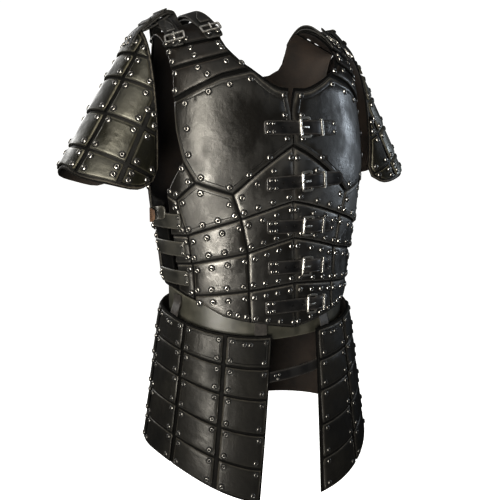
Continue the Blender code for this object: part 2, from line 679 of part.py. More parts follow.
def side_straps(side_name, side, material):
    """Three straps that close the gap between front and back."""
    half = STRAP_WIDTH / 2 / TORSO_DROP
    start, end = SIDE_STRAP_ENDS
    for index, share in enumerate(SIDE_STRAPS):
        outline = [(start, share - half), (end, share - half), (end, share + half), (start, share + half)]
        leather_piece(f"side_strap_{index + 1}_{side_name}", TORSO, outline, CLEARANCE, STRAP, side, material)


def neck_strap(side_name, side, material):
    """Strap that runs from front to back over the shoulder, bulging at its top."""
    degrees, share = NECK_STRAP
    half = NECK_STRAP_WIDTH / 2 / TORSO.per_degree
    outline = [(degrees - half, share), (degrees + half, share),
               (degrees + half, -2 - share), (degrees - half, -2 - share)]
    low, high = TORSO.flat(0, share).y, TORSO.flat(0, -2 - share).y

    def lift(place):
        return STRAP_BULGE * math.sin(math.pi * (place.y - low) / (high - low)) ** 2

    leather_piece(f"neck_strap_{side_name}", TORSO, outline, NECK_SEAT, STRAP, side, material, lift=lift)


def sleeve_strap(side_name, side, material):
    """Strap that carries the sleeve from the shoulder's top."""
    lift = SEAT + STRAP / 2
    ridge = [torso_point(degrees, -1) for degrees in LOOP_SEAT]
    path = [Vector((spot.x, spot.z + lift - CLEARANCE)) for spot in ridge]
    path += [Vector(spot) for spot in LOOP]
    sleeve_in, sleeve_out = (sleeve_point(0, share) for share in LOOP_END)
    along = Vector((sleeve_out.x - sleeve_in.x, sleeve_out.z - sleeve_in.z)).normalized()
    over = Vector((-along.y, along.x)) * (lift + SHINGLE / 2)
    path += [Vector((spot.x, spot.z)) + over for spot in (sleeve_in, sleeve_out)]
    reach = SLEEVE_STRAP_WIDTH / 2
    sections = [[(side * spot.x, y, spot.y) for spot in ribbon(path, STRAP)]
                for y in (SHOULDER_SET_BACK - reach, SHOULDER_SET_BACK + reach)]
    keep_object(f"sleeve_strap_{side_name}", loft(sections), material)


def tie_strap(material):
    """Narrow strap behind the tassets that bridges the front gap."""
    half = TIE_WIDTH / 2 / SKIRT_DROP
    (start, first), (end, last) = TIE_SHARES
    outline = [(start, first - half), (end, last - half), (end, last + half), (start, first + half)]
    inner = -PLATE - BACKING - 2 * CLEARANCE - STRAP
    leather_piece("tie_strap", SKIRT, outline, inner, STRAP, 1, material)


def main():
    """Clear the scene and build every piece."""
    for thing in list(bpy.data.objects):
        bpy.data.objects.remove(thing)
    black = make_material("black_leather", (0.028, 0.026, 0.025), 0.42)
    brown = make_material("raw_leather", (0.10, 0.055, 0.03), 0.75)
    strap = make_material("strap_leather", (0.02, 0.018, 0.017), 0.5)
    steel = make_material("antique_steel", (0.35, 0.34, 0.33), 0.35, 1.0)
    for side_name, side in SIDES.items():
        front_shell(side_name, side, brown)
        chest_plate(side_name, side, black)
        armpit_plate(side_name, side, black)
        belly_plates(side_name, side, black)
        side_plate(side_name, side, black)
        shoulder_lames(side_name, side, black)
        sleeve(side_name, side, black)
        tasset(side_name, side, black)
        side_straps(side_name, side, strap)
        neck_strap(side_name, side, strap)
        sleeve_strap(side_name, side, strap)
    back_shell(brown)
    back_plates(black)
    belt(strap)
    front_straps(strap, steel)
    tie_strap(strap)


main()
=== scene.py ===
"""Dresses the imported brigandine: leather plates, shells, straps, rivets, buckles, light and camera.

Metres, in the frame of the CAD: the front faces -Y, the wearer's left is +X and +Z is up. Leather
is modelled flat on the bench with edit-mode tools and then bent onto the form that carries it. On
the flat, x runs round the form and y up it, both in metres, and z is the height over its surface.
"""
import logging
import math
from abc import ABC, abstractmethod
from contextlib import contextmanager
from dataclasses import dataclass, field
from enum import Enum
from itertools import product
from typing import Callable, Iterator

import bpy
import numpy as np
from mathutils import Matrix, Vector


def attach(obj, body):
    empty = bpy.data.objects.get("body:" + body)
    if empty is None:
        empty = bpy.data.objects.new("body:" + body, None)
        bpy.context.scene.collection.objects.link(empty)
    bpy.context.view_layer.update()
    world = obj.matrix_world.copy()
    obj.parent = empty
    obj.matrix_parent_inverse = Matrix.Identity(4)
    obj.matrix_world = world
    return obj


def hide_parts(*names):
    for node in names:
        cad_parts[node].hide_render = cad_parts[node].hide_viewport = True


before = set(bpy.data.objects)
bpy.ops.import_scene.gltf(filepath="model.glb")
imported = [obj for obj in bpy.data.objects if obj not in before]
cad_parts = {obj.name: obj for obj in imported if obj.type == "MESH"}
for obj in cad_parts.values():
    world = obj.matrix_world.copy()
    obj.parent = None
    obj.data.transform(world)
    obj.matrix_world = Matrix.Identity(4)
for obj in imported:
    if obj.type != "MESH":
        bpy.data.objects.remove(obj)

Pair = tuple[float, float]
Height = Callable[[np.ndarray], np.ndarray]
Material = bpy.types.Material
Socket = bpy.types.NodeSocket
Thing = bpy.types.Object

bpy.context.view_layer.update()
BODY = "root"
MM = 0.001
EDGE_REACH = 8 * MM
LOG = logging.getLogger("brigandine")


class Side(Enum):
    """Half of the armour, as its wearer would name it; the value is the sign of x."""

    RIGHT = -1
    LEFT = 1

    @property
    def word(self) -> str:
        """Word used in piece names."""
        return self.name.lower()


# ---- Finishes


class NodeDesk:
    """Short ways to add and join shader nodes in one material."""

    def __init__(self, name: str) -> None:
        """Start a node material.

        Args:
            name: Name of the material.
        """
        self.material = bpy.data.materials.new(name)
        self.material.use_nodes = True
        self.tree = self.material.node_tree
        self.shader = self.tree.nodes["Principled BSDF"]

    def fill(self, node: bpy.types.Node, inputs: dict) -> bpy.types.Node:
        """Fill a node's properties and sockets.

        Args:
            node: The node.
            inputs: Names with values or links; an underscore is a space, and _1 the socket's number.

        Returns:
            The same node.
        """
        for key, value in inputs.items():
            if hasattr(node, key):
                setattr(node, key, value)
                continue
            socket = node.inputs[int(key[1:]) if key[1:].isdigit() else key.replace("_", " ")]
            if isinstance(value, Socket):
                self.tree.links.new(value, socket)
            else:
                socket.default_value = value
        return node

    def add(self, kind: str, **inputs: object) -> bpy.types.Node:
        """Add a filled node, named without the ShaderNode prefix."""
        return self.fill(self.tree.nodes.new("ShaderNode" + kind), inputs)

    def shade(self, **inputs: object) -> Material:
        """Fill the shader's sockets, and give the material."""
        self.fill(self.shader, inputs)
        return self.material

    def flat_pattern(self) -> Socket:
        """Place on the flat leather, in metres."""
        return self.add("UVMap", uv_map="Flat").outputs["UV"]

    def object_place(self) -> Socket:
        """Place in the object's own frame, in metres."""
        return self.add("TexCoord").outputs["Object"]

    def painted(self, name: str) -> Socket:
        """Field that was painted on the piece on the bench."""
        return self.add("Attribute", attribute_name=name).outputs["Fac"]

    def stretched(self, place: Socket, scale: tuple, turn: float = 0.0) -> Socket:
        """Place turned about z and scaled."""
        return self.add("Mapping", Vector=place, Rotation=(0, 0, turn), Scale=scale).outputs["Vector"]

    def noise(self, place: Socket, scale: float, detail: float = 3.0, roughness: float = 0.55) -> Socket:
        """Grey noise between 0 and 1 at a scale per metre."""
        return self.add("TexNoise", Vector=place, Scale=scale, Detail=detail,
                        Roughness=roughness).outputs["Fac"]

    def ramp(self, value: Socket, low: float, high: float, start: float = 0.0, end: float = 1.0) -> Socket:
        """Value mapped smoothly from low..high to start..end."""
        return self.add("MapRange", interpolation_type="SMOOTHSTEP", Value=value,
                        From_Min=low, From_Max=high, To_Min=start, To_Max=end).outputs["Result"]

    def math(self, operation: str, one: object, two: object) -> Socket:
        """Arithmetic on two values."""
        return self.add("Math", operation=operation, _0=one, _1=two).outputs["Value"]

    def mix(self, factor: Socket, one: object, two: object) -> Socket:
        """Mix of two colours."""
        one, two = ((*colour, 1) if isinstance(colour, tuple) else colour for colour in (one, two))
        return self.add("Mix", data_type="RGBA", Factor=factor, _6=one, _7=two).outputs[2]

    def bump(self, height: Socket, strength: float, distance: float) -> Socket:
        """Normal bumped by a height."""
        return self.add("Bump", Height=height, Strength=strength, Distance=distance).outputs["Normal"]


class Finish(ABC):
    """A finish that makes its material once and keeps it."""

    made: dict = {}

    def material(self) -> Material:
        """The finish's material, made on its first use.

        Returns:
            The shared material.
        """
        if self not in Finish.made:
            Finish.made[self] = self.build()
        return Finish.made[self]

    @abstractmethod
    def build(self) -> Material:
        """Make the material."""


@dataclass(frozen=True)
class PlateLeather(Finish):
    """Black leather hand-waxed in clouds and streaks; edges rubbed, with painted highlight and painted shade.
    """

    name: str = "plate_leather"
    black: tuple = (0.0012, 0.0012, 0.0012)
    brown: tuple = (0.0062, 0.0056, 0.0048)
    wear_and_edge_highlight: tuple = (0.085, 0.077, 0.064)
    roughness: float = 0.46
    mottle: float = 0.15
    wear: float = 1.0
    gloss: float = 0.6
    tint: tuple = (1.0, 0.975, 0.925)
    # Colour of the painted shade along the cut line.
    gap_shade_colour: tuple = (0.0012, 0.0012, 0.0012)

    def build(self) -> Material:
        """Make the material.

        Returns:
            The leather's material.
        """
        desk = NodeDesk(self.name)
        math, ramp, noise, mix = desk.math, desk.ramp, desk.noise, desk.mix
        flat, place = desk.flat_pattern(), desk.object_place()
        edge, fall, lead = (desk.painted(word) for word in ("edge", "fall", "lead"))
        # Wax lies in clouds and in streaks down the plate.
        cloud = noise(place, 14.0, 2.0, 0.5)
        streak = noise(desk.stretched(place, (1.0, 1.0, 0.38)), 38.0, 2.0, 0.5)
        patch = noise(flat, 90.0, 5.0, 0.65)
        wax = ramp(math("ADD", math("MULTIPLY", cloud, 0.6), math("MULTIPLY", streak, 0.4)), 0.30, 0.68)
        stain = math("MULTIPLY", wax, ramp(patch, 0.25, 0.65, 0.55, 1.0))
        # Edges are rubbed bright, most of all the upper and the front ones: partly real rubbing,
        # partly a painted highlight where light falls on the bevels.
        near = ramp(edge, 0.16, 0.58, 1.0, 0.0)
        # Painted highlight: upper weights the edges that face the light, the upper ones most.
        upper = math("MAXIMUM", ramp(fall, 0.0, 0.30, 1.0, 0.0), ramp(lead, 0.0, 0.22, 0.8, 0.0))
        rubbed = ramp(noise(flat, 120.0, 6.0, 0.7), 0.32, 0.65, 0.45, 1.0)
        # worn is real rubbing on all edges plus the painted highlight on the edges that face the light.
        worn = math("MULTIPLY", math("MULTIPLY", near, math("MAXIMUM", upper, 0.22)), rubbed)
        worn = math("MULTIPLY", worn, 0.85 * self.wear)
        scratch = noise(desk.stretched(flat, (1.0, 0.06, 1.0), 0.5), 420.0, 2.0, 0.5)
        scratch = ramp(scratch, 0.66, 0.74, 0.0, 0.12)
        tone = mix(math("MAXIMUM", worn, scratch), mix(stain, self.black, self.brown), self.wear_and_edge_highlight)
        # Painted shade in the gaps: the cut line is near black, wider along the upper and the lower edge.
        level = math("MAXIMUM", ramp(fall, 0.0, 0.14, 1.0, 0.0), ramp(fall, 0.86, 1.0, 0.0, 1.0))
        gap_shade = ramp(math("SUBTRACT", edge, math("MULTIPLY", level, 0.15)), 0.06, 0.12, 1.0, 0.0)
        gloss = ramp(wax, 0.0, 1.0, self.roughness + self.mottle, self.roughness - self.mottle)
        gloss = math("ADD", gloss, ramp(patch, 0.3, 0.7, 0.03, -0.03))
        gloss = math("SUBTRACT", gloss, math("MULTIPLY", worn, 0.06))
        # Pores and grain, over a surface that is uneven by hand.
        pores = desk.add("TexVoronoi", feature="DISTANCE_TO_EDGE", Vector=flat, Scale=620.0)
        grain = math("ADD", ramp(pores.outputs["Distance"], 0.0, 0.18), noise(flat, 260.0, 5.0, 0.6))
        wave, ripple = noise(flat, 34.0, 3.0, 0.5), noise(flat, 105.0, 3.0, 0.55)
        uneven = math("ADD", wave, math("MULTIPLY", ripple, 0.35))
        relief = math("ADD", grain, math("MULTIPLY", uneven, 34.0))
        return desk.shade(Base_Color=mix(gap_shade, tone, self.gap_shade_colour),
                          Roughness=math("ADD", gloss, math("MULTIPLY", gap_shade, 0.5)),
                          Normal=desk.bump(relief, 0.18, 0.2 * MM),
                          Specular_IOR_Level=self.gloss, Specular_Tint=(*self.tint, 1))


@dataclass(frozen=True)
class RawLeather(Finish):
    """Undyed flesh side and cut edges, brown and fuzzy."""

    name: str = "raw_leather"
    dark: tuple = (0.0065, 0.0042, 0.0030)
    light: tuple = (0.027, 0.0175, 0.0115)
    roughness: float = 0.78

    def build(self) -> Material:
        """Make the material.

        Returns:
            The raw leather's material.
        """
        desk = NodeDesk(self.name)
        place = desk.object_place()
        cloud = desk.noise(place, 22.0, 5.0, 0.6)
        fibre = desk.noise(desk.stretched(place, (1.0, 1.0, 0.3)), 900.0, 4.0, 0.7)
        tone = desk.ramp(desk.math("ADD", cloud, desk.math("MULTIPLY", fibre, 0.4)), 0.45, 0.95)
        return desk.shade(Base_Color=desk.mix(tone, self.dark, self.light),
                          Roughness=desk.ramp(fibre, 0.3, 0.7, self.roughness - 0.08, self.roughness + 0.1),
                          Normal=desk.bump(fibre, 0.35, 0.4 * MM))


@dataclass(frozen=True)
class StrapLeather(Finish):
    """Harder, smoother leather of the straps and the belt."""

    name: str = "strap_leather"
    dark: tuple = (0.0035, 0.0035, 0.0038)
    light: tuple = (0.0095, 0.0088, 0.0085)
    edge_colour: tuple = (0.045, 0.041, 0.037)
    roughness: float = 0.40
    grain: float = 0.2

    def build(self) -> Material:
        """Make the material.

        Returns:
            The strap's material.
        """
        desk = NodeDesk(self.name)
        flat, edge = desk.flat_pattern(), desk.painted("edge")
        cloud = desk.noise(desk.object_place(), 40.0, 4.0)
        body = desk.mix(desk.ramp(cloud, 0.3, 0.7), self.dark, self.light)
        rubbed = desk.ramp(desk.noise(flat, 160.0, 5.0, 0.7), 0.3, 0.7, 0.35, 1.0)
        worn = desk.math("MULTIPLY", desk.ramp(edge, 0.0, 0.45, 0.8, 0.0), rubbed)
        return desk.shade(Base_Color=desk.mix(worn, body, self.edge_colour),
                          Roughness=desk.ramp(cloud, 0.25, 0.75, self.roughness - 0.06, self.roughness + 0.1),
                          Normal=desk.bump(desk.noise(flat, 700.0, 5.0, 0.65), self.grain, 0.2 * MM),
                          Specular_IOR_Level=0.5)


@dataclass(frozen=True)
class AntiqueSteel(Finish):
    """Steel with a tarnished, hand-polished surface."""

    name: str = "antique_steel"
    bright: tuple = (0.34, 0.325, 0.30)
    tarnish: tuple = (0.036, 0.033, 0.030)
    roughness: float = 0.31

    def build(self) -> Material:
        """Make the material.

        Returns:
            The steel's material.
        """
        desk = NodeDesk(self.name)
        place = desk.object_place()
        spots = desk.noise(place, 260.0, 5.0, 0.65)
        return desk.shade(Base_Color=desk.mix(desk.ramp(spots, 0.42, 0.68), self.bright, self.tarnish),
                          Roughness=desk.ramp(spots, 0.35, 0.7, self.roughness - 0.06, self.roughness + 0.2),
                          Normal=desk.bump(desk.noise(place, 1400.0), 0.06, 0.1 * MM), Metallic=1.0)


@dataclass(frozen=True)
class PlainPaper(Finish):
    """Pale matt paper of the floor and the background."""

    name: str = "studio_paper"
    colour: tuple = (0.93, 0.93, 0.92)
    glow: float = 1.0

    def build(self) -> Material:
        """Make the material.

        Returns:
            The paper's material.
        """
        desk = NodeDesk(self.name)
        tone = desk.ramp(desk.noise(desk.object_place(), 3.0, 2.0), 0.2, 0.8)
        return desk.shade(Base_Color=desk.mix(tone, self.colour, tuple(c * 0.985 for c in self.colour)),
                          Roughness=0.9, Emission_Color=(*self.colour, 1), Emission_Strength=self.glow)


PLATE = PlateLeather()
LAME = PlateLeather("lame_leather", brown=(0.0095, 0.0072, 0.0056), wear_and_edge_highlight=(0.062, 0.050, 0.040),
                    gloss=0.42)
BELLY_LEATHERS = tuple(
    PlateLeather(f"belly_leather_{row + 1}", roughness=rough, gloss=gloss)
    for row, (rough, gloss) in enumerate(((0.50, 1.0), (0.47, 0.8), (0.46, 0.66), (0.46, 0.42))))
SLEEVE_LEATHERS = tuple(
    PlateLeather(f"sleeve_leather_{word}", brown=(0.0105, 0.0100, 0.0066), wear_and_edge_highlight=(0.105, 0.097, 0.070),
                 roughness=rough, gloss=gloss, tint=(1.0, 0.97, 0.84))
    for word, rough, gloss in (("inner", 0.48, 0.18), ("face", 0.42, 1.0), ("outer", 0.46, 0.36)))
SKIRT_LEATHER = PlateLeather("tasset_leather", (0.0035, 0.0034, 0.0032), (0.0150, 0.0143, 0.0128),
                             (0.062, 0.057, 0.047), gloss=0.16, tint=(1.0, 0.98, 0.94))
# Near black outside: the shells' own dark leather, which also stands in for the shade in the gaps between
# plates.
SHELL = PlateLeather("shell_leather", brown=(0.0022, 0.0020, 0.0018), wear=0.12, roughness=0.7,
                     mottle=0.04, gloss=0.1)
# The sleeve lining's lighter rim is partly rubbing and partly a painted highlight along the armhole.
SLEEVE_SHELL = PlateLeather("sleeve_shell_leather", brown=SHELL.brown, wear_and_edge_highlight=(0.110, 0.096, 0.074),
                            roughness=0.6, mottle=0.04, gloss=0.25)
RAW = RawLeather()
TURNED = RawLeather("turned_leather", (0.016, 0.008, 0.004), (0.085, 0.042, 0.018))
STRAP = StrapLeather()
SHOULDER_STRAP = StrapLeather("shoulder_strap_leather", (0.0014, 0.0014, 0.0014), (0.0040, 0.0038, 0.0034),
                              (0.024, 0.022, 0.018), 0.60)
SIDE_STRAP = StrapLeather("side_strap_leather", (0.012, 0.012, 0.0105), (0.026, 0.025, 0.021),
                          (0.060, 0.056, 0.046), 0.46)
BELT = StrapLeather("belt_leather", (0.022, 0.0215, 0.0165), (0.042, 0.040, 0.031),
                    (0.080, 0.076, 0.060), 0.46, 0.15)
# Painted shade: the ring round each rivet's foot and the floor of its dimple.
RIVET_SHADE = StrapLeather("rivet_painted_shade", (0.0008, 0.0008, 0.0008), (0.0016, 0.0016, 0.0016),
                     (0.002, 0.002, 0.002), 0.8, 0.1)
STEEL = AntiqueSteel()
SKIRT_STEEL = AntiqueSteel("tasset_rivet_steel", (0.155, 0.15, 0.14), (0.024, 0.022, 0.020), 0.38)
BUCKLE_STEEL = AntiqueSteel("buckle_steel", (0.62, 0.60, 0.56), (0.22, 0.21, 0.19), 0.36)
PAPER = PlainPaper()


# ---- Forms that flat leather is bent onto


def catmull(rows: tuple, place: float, column: int) -> float:
    """Smooth value of a table's column.

    Args:
        rows: Table with its places in the first column.
        place: Where to read it.
        column: Column to read.

    Returns:
        The value there.
    """
    if place <= rows[0][0]:
        return rows[0][column]
    if place >= rows[-1][0]:
        return rows[-1][column]
    index = max(i for i, row in enumerate(rows) if row[0] <= place)
    low, high = rows[index], rows[index + 1]
    before, after = rows[max(index - 1, 0)], rows[min(index + 2, len(rows) - 1)]
    span = high[0] - low[0]
    u = (place - low[0]) / span
    rise_low = (high[column] - before[column]) / (high[0] - before[0]) * span
    rise_high = (after[column] - low[column]) / (after[0] - low[0]) * span
    return ((2 * u**3 - 3 * u**2 + 1) * low[column] + (u**3 - 2 * u**2 + u) * rise_low
            + (3 * u**2 - 2 * u**3) * high[column] + (u**3 - u**2) * rise_high)


class Form(ABC):
    """A surface in space with flat coordinates on it."""

    facing: float = 1.0
    per_degree: float
    drop: float

    @abstractmethod
    def place(self, x: np.ndarray, y: np.ndarray) -> np.ndarray:
        """Points of the surface under flat coordinates."""

    def flat(self, degrees: float, share: float) -> Pair:
        """Flat place of an angle and a share of the length."""
        return degrees * self.per_degree, -share * self.drop

    def flats(self, spots: list | tuple) -> list:
        """Flat places of several angles and shares."""
        return [self.flat(*spot) for spot in spots]

    def bent(self, flat: np.ndarray, side: Side) -> np.ndarray:
        """Bend flat points onto the form.

        Args:
            flat: Points with x and y on the flat and z outwards.
            side: Half of the armour they belong to.

        Returns:
            Their places in space.
        """
        x, y = flat[:, 0], flat[:, 1]
        step = 0.4 * MM
        across = self.place(x + step, y) - self.place(x - step, y)
        upward = self.place(x, y + step) - self.place(x, y - step)
        normal = np.cross(across, upward) * self.facing
        normal /= np.linalg.norm(normal, axis=1, keepdims=True)
        spots = self.place(x, y) + normal * flat[:, 2:3]
        spots[:, 0] *= side.value
        return spots

    def seat(self, spot: Pair, height: float, side: Side, turn: float = 0.0) -> Matrix:
        """Frame in which a rigid piece sits on the form.

        Args:
            spot: Its place on the flat.
            height: Height over the surface.
            side: Half of the armour.
            turn: Angle about its own axis, in degrees.

        Returns:
            Matrix with z outwards and x along the flat's x.
        """
        flat = np.array([(*spot, height), (spot[0] + MM, spot[1], height), (*spot, height + MM)])
        origin, ahead, over = (Vector(p) for p in self.bent(flat, side))
        out = (over - origin).normalized()
        x_axis = (ahead - origin).normalized()
        y_axis = out.cross(x_axis).normalized()
        x_axis = y_axis.cross(out)
        matrix = Matrix((x_axis, y_axis, out)).transposed().to_4x4()
        matrix.translation = origin
        return matrix @ Matrix.Rotation(math.radians(turn), 4, "Z")


def oval(breadth: np.ndarray, depth: np.ndarray, degrees: np.ndarray, power: float) -> tuple:
    """Body section, a little boxier than an ellipse; zero degrees is the front.

    Args:
        breadth: Half breadth.
        depth: Half depth.
        degrees: Angle round the body.
        power: 2 is an ellipse, more is boxier.

    Returns:
        The x and y of each point.
    """
    sine, cosine = np.sin(np.radians(degrees)), np.cos(np.radians(degrees))
    return (breadth * np.sign(sine) * np.abs(sine) ** (2 / power),
            -depth * np.sign(cosine) * np.abs(cosine) ** (2 / power))


def risen(degrees: np.ndarray, levelling: float = 0.15) -> np.ndarray:
    """Share by which the sloping line of the belt and the tassets has risen from the front."""
    tilt = 1 - np.cos(np.radians(degrees))
    return tilt / (1 + levelling * tilt ** 2)


@dataclass
class Torso(Form):
    """Body of the shells; x is in 2.9 mm a degree, y is zero where the shoulders begin."""

    chest: Pair = (0.208, 0.134)
    waist: Pair = (0.177, 0.121)
    top: float = -0.100
    drop: float = 0.387
    arch: float = 0.150
    set_back: float = 0.022
    neck: Pair = (0.100, 0.043)
    shoulder: Pair = (0.205, 0.004)
    power: float = 2.3
    per_degree: float = 0.0029
    levels: tuple = ((0.000, 0.74, 0.23), (0.155, 0.94, 0.85), (0.310, 1.00, 1.00), (0.490, 0.74, 0.77),
                     (0.670, 0.36, 0.31), (0.853, 0.06, 0.00), (1.000, 0.00, 0.00))
    lean: tuple = ((-0.30, 0.0), (0.00, 3.0), (0.25, 3.0), (0.43, 2.8), (0.60, 1.7), (0.80, 0.5), (1.00, 0.0))
    lean_reach: float = 75.0

    def __post_init__(self) -> None:
        """Sample the tables of levels and of the closing line's lean."""
        self.shares = np.linspace(0, 1, 201)
        self.fullness = [np.array([catmull(self.levels, s, c) for s in self.shares]) for c in (1, 2)]
        self.lean_shares = np.linspace(self.lean[0][0], 1, 201)
        self.leans = np.array([catmull(self.lean, s, 1) for s in self.lean_shares])

    def flat(self, degrees: float, share: float) -> Pair:
        """Flat place of an angle and a share of the drop, or of the arch below zero."""
        return degrees * self.per_degree, -share * (self.drop if share >= 0 else self.arch)

    def bent(self, flat: np.ndarray, side: Side) -> np.ndarray:
        """Bend flat points onto the body, whose front closes a little towards the wearer's right.

        Args:
            flat: Points with x and y on the flat and z outwards.
            side: Half of the armour they belong to.

        Returns:
            Their places in space.
        """
        degrees = flat[:, 0] / self.per_degree
        share = -flat[:, 1] / np.where(flat[:, 1] <= 0, self.drop, self.arch)
        fade = np.cos(np.pi / 2 * np.clip(degrees / self.lean_reach, -1, 1)) ** 2
        slid = flat.copy()
        slid[:, 0] -= side.value * self.per_degree * fade * np.interp(share, self.lean_shares, self.leans)
        return super().bent(slid, side)

    def place(self, x: np.ndarray, y: np.ndarray) -> np.ndarray:
        """Points of the plates' outer face.

        Args:
            x: Round the body.
            y: Up it; past the shoulder's top it comes down the other side.

        Returns:
            Points in space.
        """
        degrees = x / self.per_degree
        share = -y / np.where(y <= 0, self.drop, self.arch)
        degrees = np.where(share < -1, 180 - degrees, degrees)
        share = np.where(share < -1, -2 - share, share)
        level = np.clip(share, 0, 1)
        breadth, depth = (low + (high - low) * np.interp(level, self.shares, fullness)
                          for low, high, fullness in zip(self.waist, self.chest, self.fullness))
        px, py = oval(breadth, depth, degrees, self.power)
        turn = np.clip(-share, 0, 1) * np.pi / 2
        out = (np.abs(px) - self.neck[0]) / (self.shoulder[0] - self.neck[0])
        crown = self.neck[1] + (self.shoulder[1] - self.neck[1]) * out
        over = share < 0
        py = np.where(over, self.set_back - (self.set_back - py) * np.cos(turn), py)
        pz = np.where(over, self.top + (crown - self.top) * np.sin(turn), self.top - share * self.drop)
        return np.stack((px, py, pz), axis=1)


@dataclass
class Skirt(Form):
    """Cone of the tassets; x is in 3 mm a degree, y is zero at the upper edge."""

    upper: Pair = (0.187, 0.128)
    hem: Pair = (0.218, 0.165)
    top: float = -0.494
    top_rise: float = 0.040
    drop: float = 0.288
    hem_rise: float = 0.080
    power: float = 2.3
    per_degree: float = 0.0030

    def place(self, x: np.ndarray, y: np.ndarray) -> np.ndarray:
        """Points of the tasset plates' outer face.

        Args:
            x: Round the body.
            y: Down from the upper edge, below zero.

        Returns:
            Points in space.
        """
        degrees, share = x / self.per_degree, -y / self.drop
        breadth = self.upper[0] + (self.hem[0] - self.upper[0]) * share
        depth = self.upper[1] + (self.hem[1] - self.upper[1]) * share
        px, py = oval(breadth, depth, degrees, self.power)
        top = self.top + self.top_rise * risen(degrees)
        quarter = np.minimum(np.abs(degrees), 90)
        hem = self.top - self.drop + self.hem_rise * np.sin(np.radians(quarter)) ** 2
        return np.stack((px, py, top + (hem - top) * share), axis=1)


@dataclass
class Arm(Form):
    """Cone of a sleeve; x is zero on its outer side, y is zero at its top."""

    top: Pair = (0.1585, -0.029)
    hem: Pair = (0.2700, -0.247)
    set_back: float = 0.030
    radii: Pair = (0.078, 0.092)
    drop: float = 0.245
    facing: float = -1.0

    def __post_init__(self) -> None:
        """Scale of the flat."""
        self.per_degree = math.radians(1) * self.radii[1]

    def place(self, x: np.ndarray, y: np.ndarray) -> np.ndarray:
        """Points of the sleeve plates' outer face.

        Args:
            x: Round the arm, towards the front.
            y: Down from the top, below zero.

        Returns:
            Points in space.
        """
        angle, share = np.radians(x / self.per_degree), -y / self.drop
        top, hem = (np.array((x, self.set_back, z)) for x, z in (self.top, self.hem))
        axis = hem - top
        out = np.array((-axis[2], 0, axis[0]))
        out /= np.linalg.norm(out)
        radius = self.radii[0] + (self.radii[1] - self.radii[0]) * share
        ring = np.cos(angle)[:, None] * out - np.sin(angle)[:, None] * np.array((0, 1.0, 0))
        return top + axis * share[:, None] + radius[:, None] * ring

    def cut(self, degrees: float, plane: float) -> float:
        """Find where the armhole's upright plane cuts the sleeve.

        Args:
            degrees: Angle round the arm.
            plane: The plane's x.

        Returns:
            Share of the length.
        """
        low, high = -0.3, 1.0
        for _ in range(30):
            middle = (low + high) / 2
            x, y = self.flat(degrees, middle)
            if self.place(np.array([x]), np.array([y]))[0, 0] < plane:
                low = middle
            else:
                high = middle
        return high


@dataclass
class Waist(Form):
    """Upright band under the shells' foot; x is in 2.9 mm a degree, y is zero at the belt's top."""

    torso: Torso
    inset: float = 0.0073
    top: float = -0.457
    rise: float = 0.040

    def __post_init__(self) -> None:
        """Take the torso's scale."""
        self.per_degree = self.torso.per_degree

    def place(self, x: np.ndarray, y: np.ndarray) -> np.ndarray:
        """Points of the belt's outer face.

        Args:
            x: Round the body.
            y: Down from the belt's upper edge, below zero.

        Returns:
            Points in space.
        """
        foot = np.full_like(x, -self.torso.drop)
        step = np.full_like(x, MM)
        ahead = self.torso.place(x + step, foot) - self.torso.place(x - step, foot)
        out = np.stack((ahead[:, 1], -ahead[:, 0], np.zeros_like(x)), axis=1)
        out /= np.linalg.norm(out, axis=1, keepdims=True)
        spots = self.torso.place(x, foot) - out * self.inset
        spots[:, 2] = self.top + self.rise * risen(x / self.per_degree) + y
        return spots


@dataclass
class Ribbon(Form):
    """Strip along a smooth path; x runs along the path and y across it."""

    path: list
    across: tuple = (0.0, 1.0, 0.0)

    def __post_init__(self) -> None:
        """Resample the path evenly by its length."""
        table = tuple((float(i), *spot) for i, spot in enumerate(self.path))
        dense = np.linspace(0, len(self.path) - 1, 24 * len(self.path))
        self.line = np.array([[catmull(table, u, c) for c in (1, 2, 3)] for u in dense])
        runs = np.linalg.norm(np.diff(self.line, axis=0), axis=1)
        self.lengths = np.concatenate(((0.0,), np.cumsum(runs)))
        self.length = float(self.lengths[-1])

    def place(self, x: np.ndarray, y: np.ndarray) -> np.ndarray:
        """Points of the strip's middle surface.

        Args:
            x: Length along the path; past its ends the strip runs straight on.
            y: Distance across it.

        Returns:
            Points in space.
        """
        spots = np.stack([np.interp(x, self.lengths, self.line[:, axis]) for axis in range(3)], axis=1)
        start = (self.line[1] - self.line[0]) / self.lengths[1]
        end = (self.line[-1] - self.line[-2]) / (self.lengths[-1] - self.lengths[-2])
        spots += np.minimum(x, 0)[:, None] * start + np.maximum(x - self.length, 0)[:, None] * end
        return spots + y[:, None] * np.array(self.across)


TORSO = Torso()
SKIRT = Skirt()
ARM = Arm()
WAIST = Waist(TORSO)


# ---- The bench


def clear_selection() -> None:
    """Leave nothing selected."""
    if bpy.context.object and bpy.context.object.mode != "OBJECT":
        bpy.ops.object.mode_set(mode="OBJECT")
    bpy.ops.object.select_all(action="DESELECT")


def activate(thing: Thing) -> None:
    """Make one object the only selected one, and active.

    Args:
        thing: The object.
    """
    clear_selection()
    thing.select_set(True)
    bpy.context.view_layer.objects.active = thing


@contextmanager
def editing(mode: str = "FACE") -> Iterator[None]:
    """Edit the active object, with all of it selected at first.

    Args:
        mode: Kind of element to select.

    Yields:
        Nothing; edit mode lasts as long as the with block.
    """
    bpy.ops.object.mode_set(mode="EDIT")
    bpy.ops.mesh.select_mode(type=mode)
    bpy.ops.mesh.select_all(action="SELECT")
    yield
    bpy.ops.object.mode_set(mode="OBJECT")


def extrude(x: float, y: float, z: float) -> None:
    """Extrude what is selected."""
    bpy.ops.mesh.extrude_region_move(TRANSFORM_OT_translate={"value": (x, y, z)})


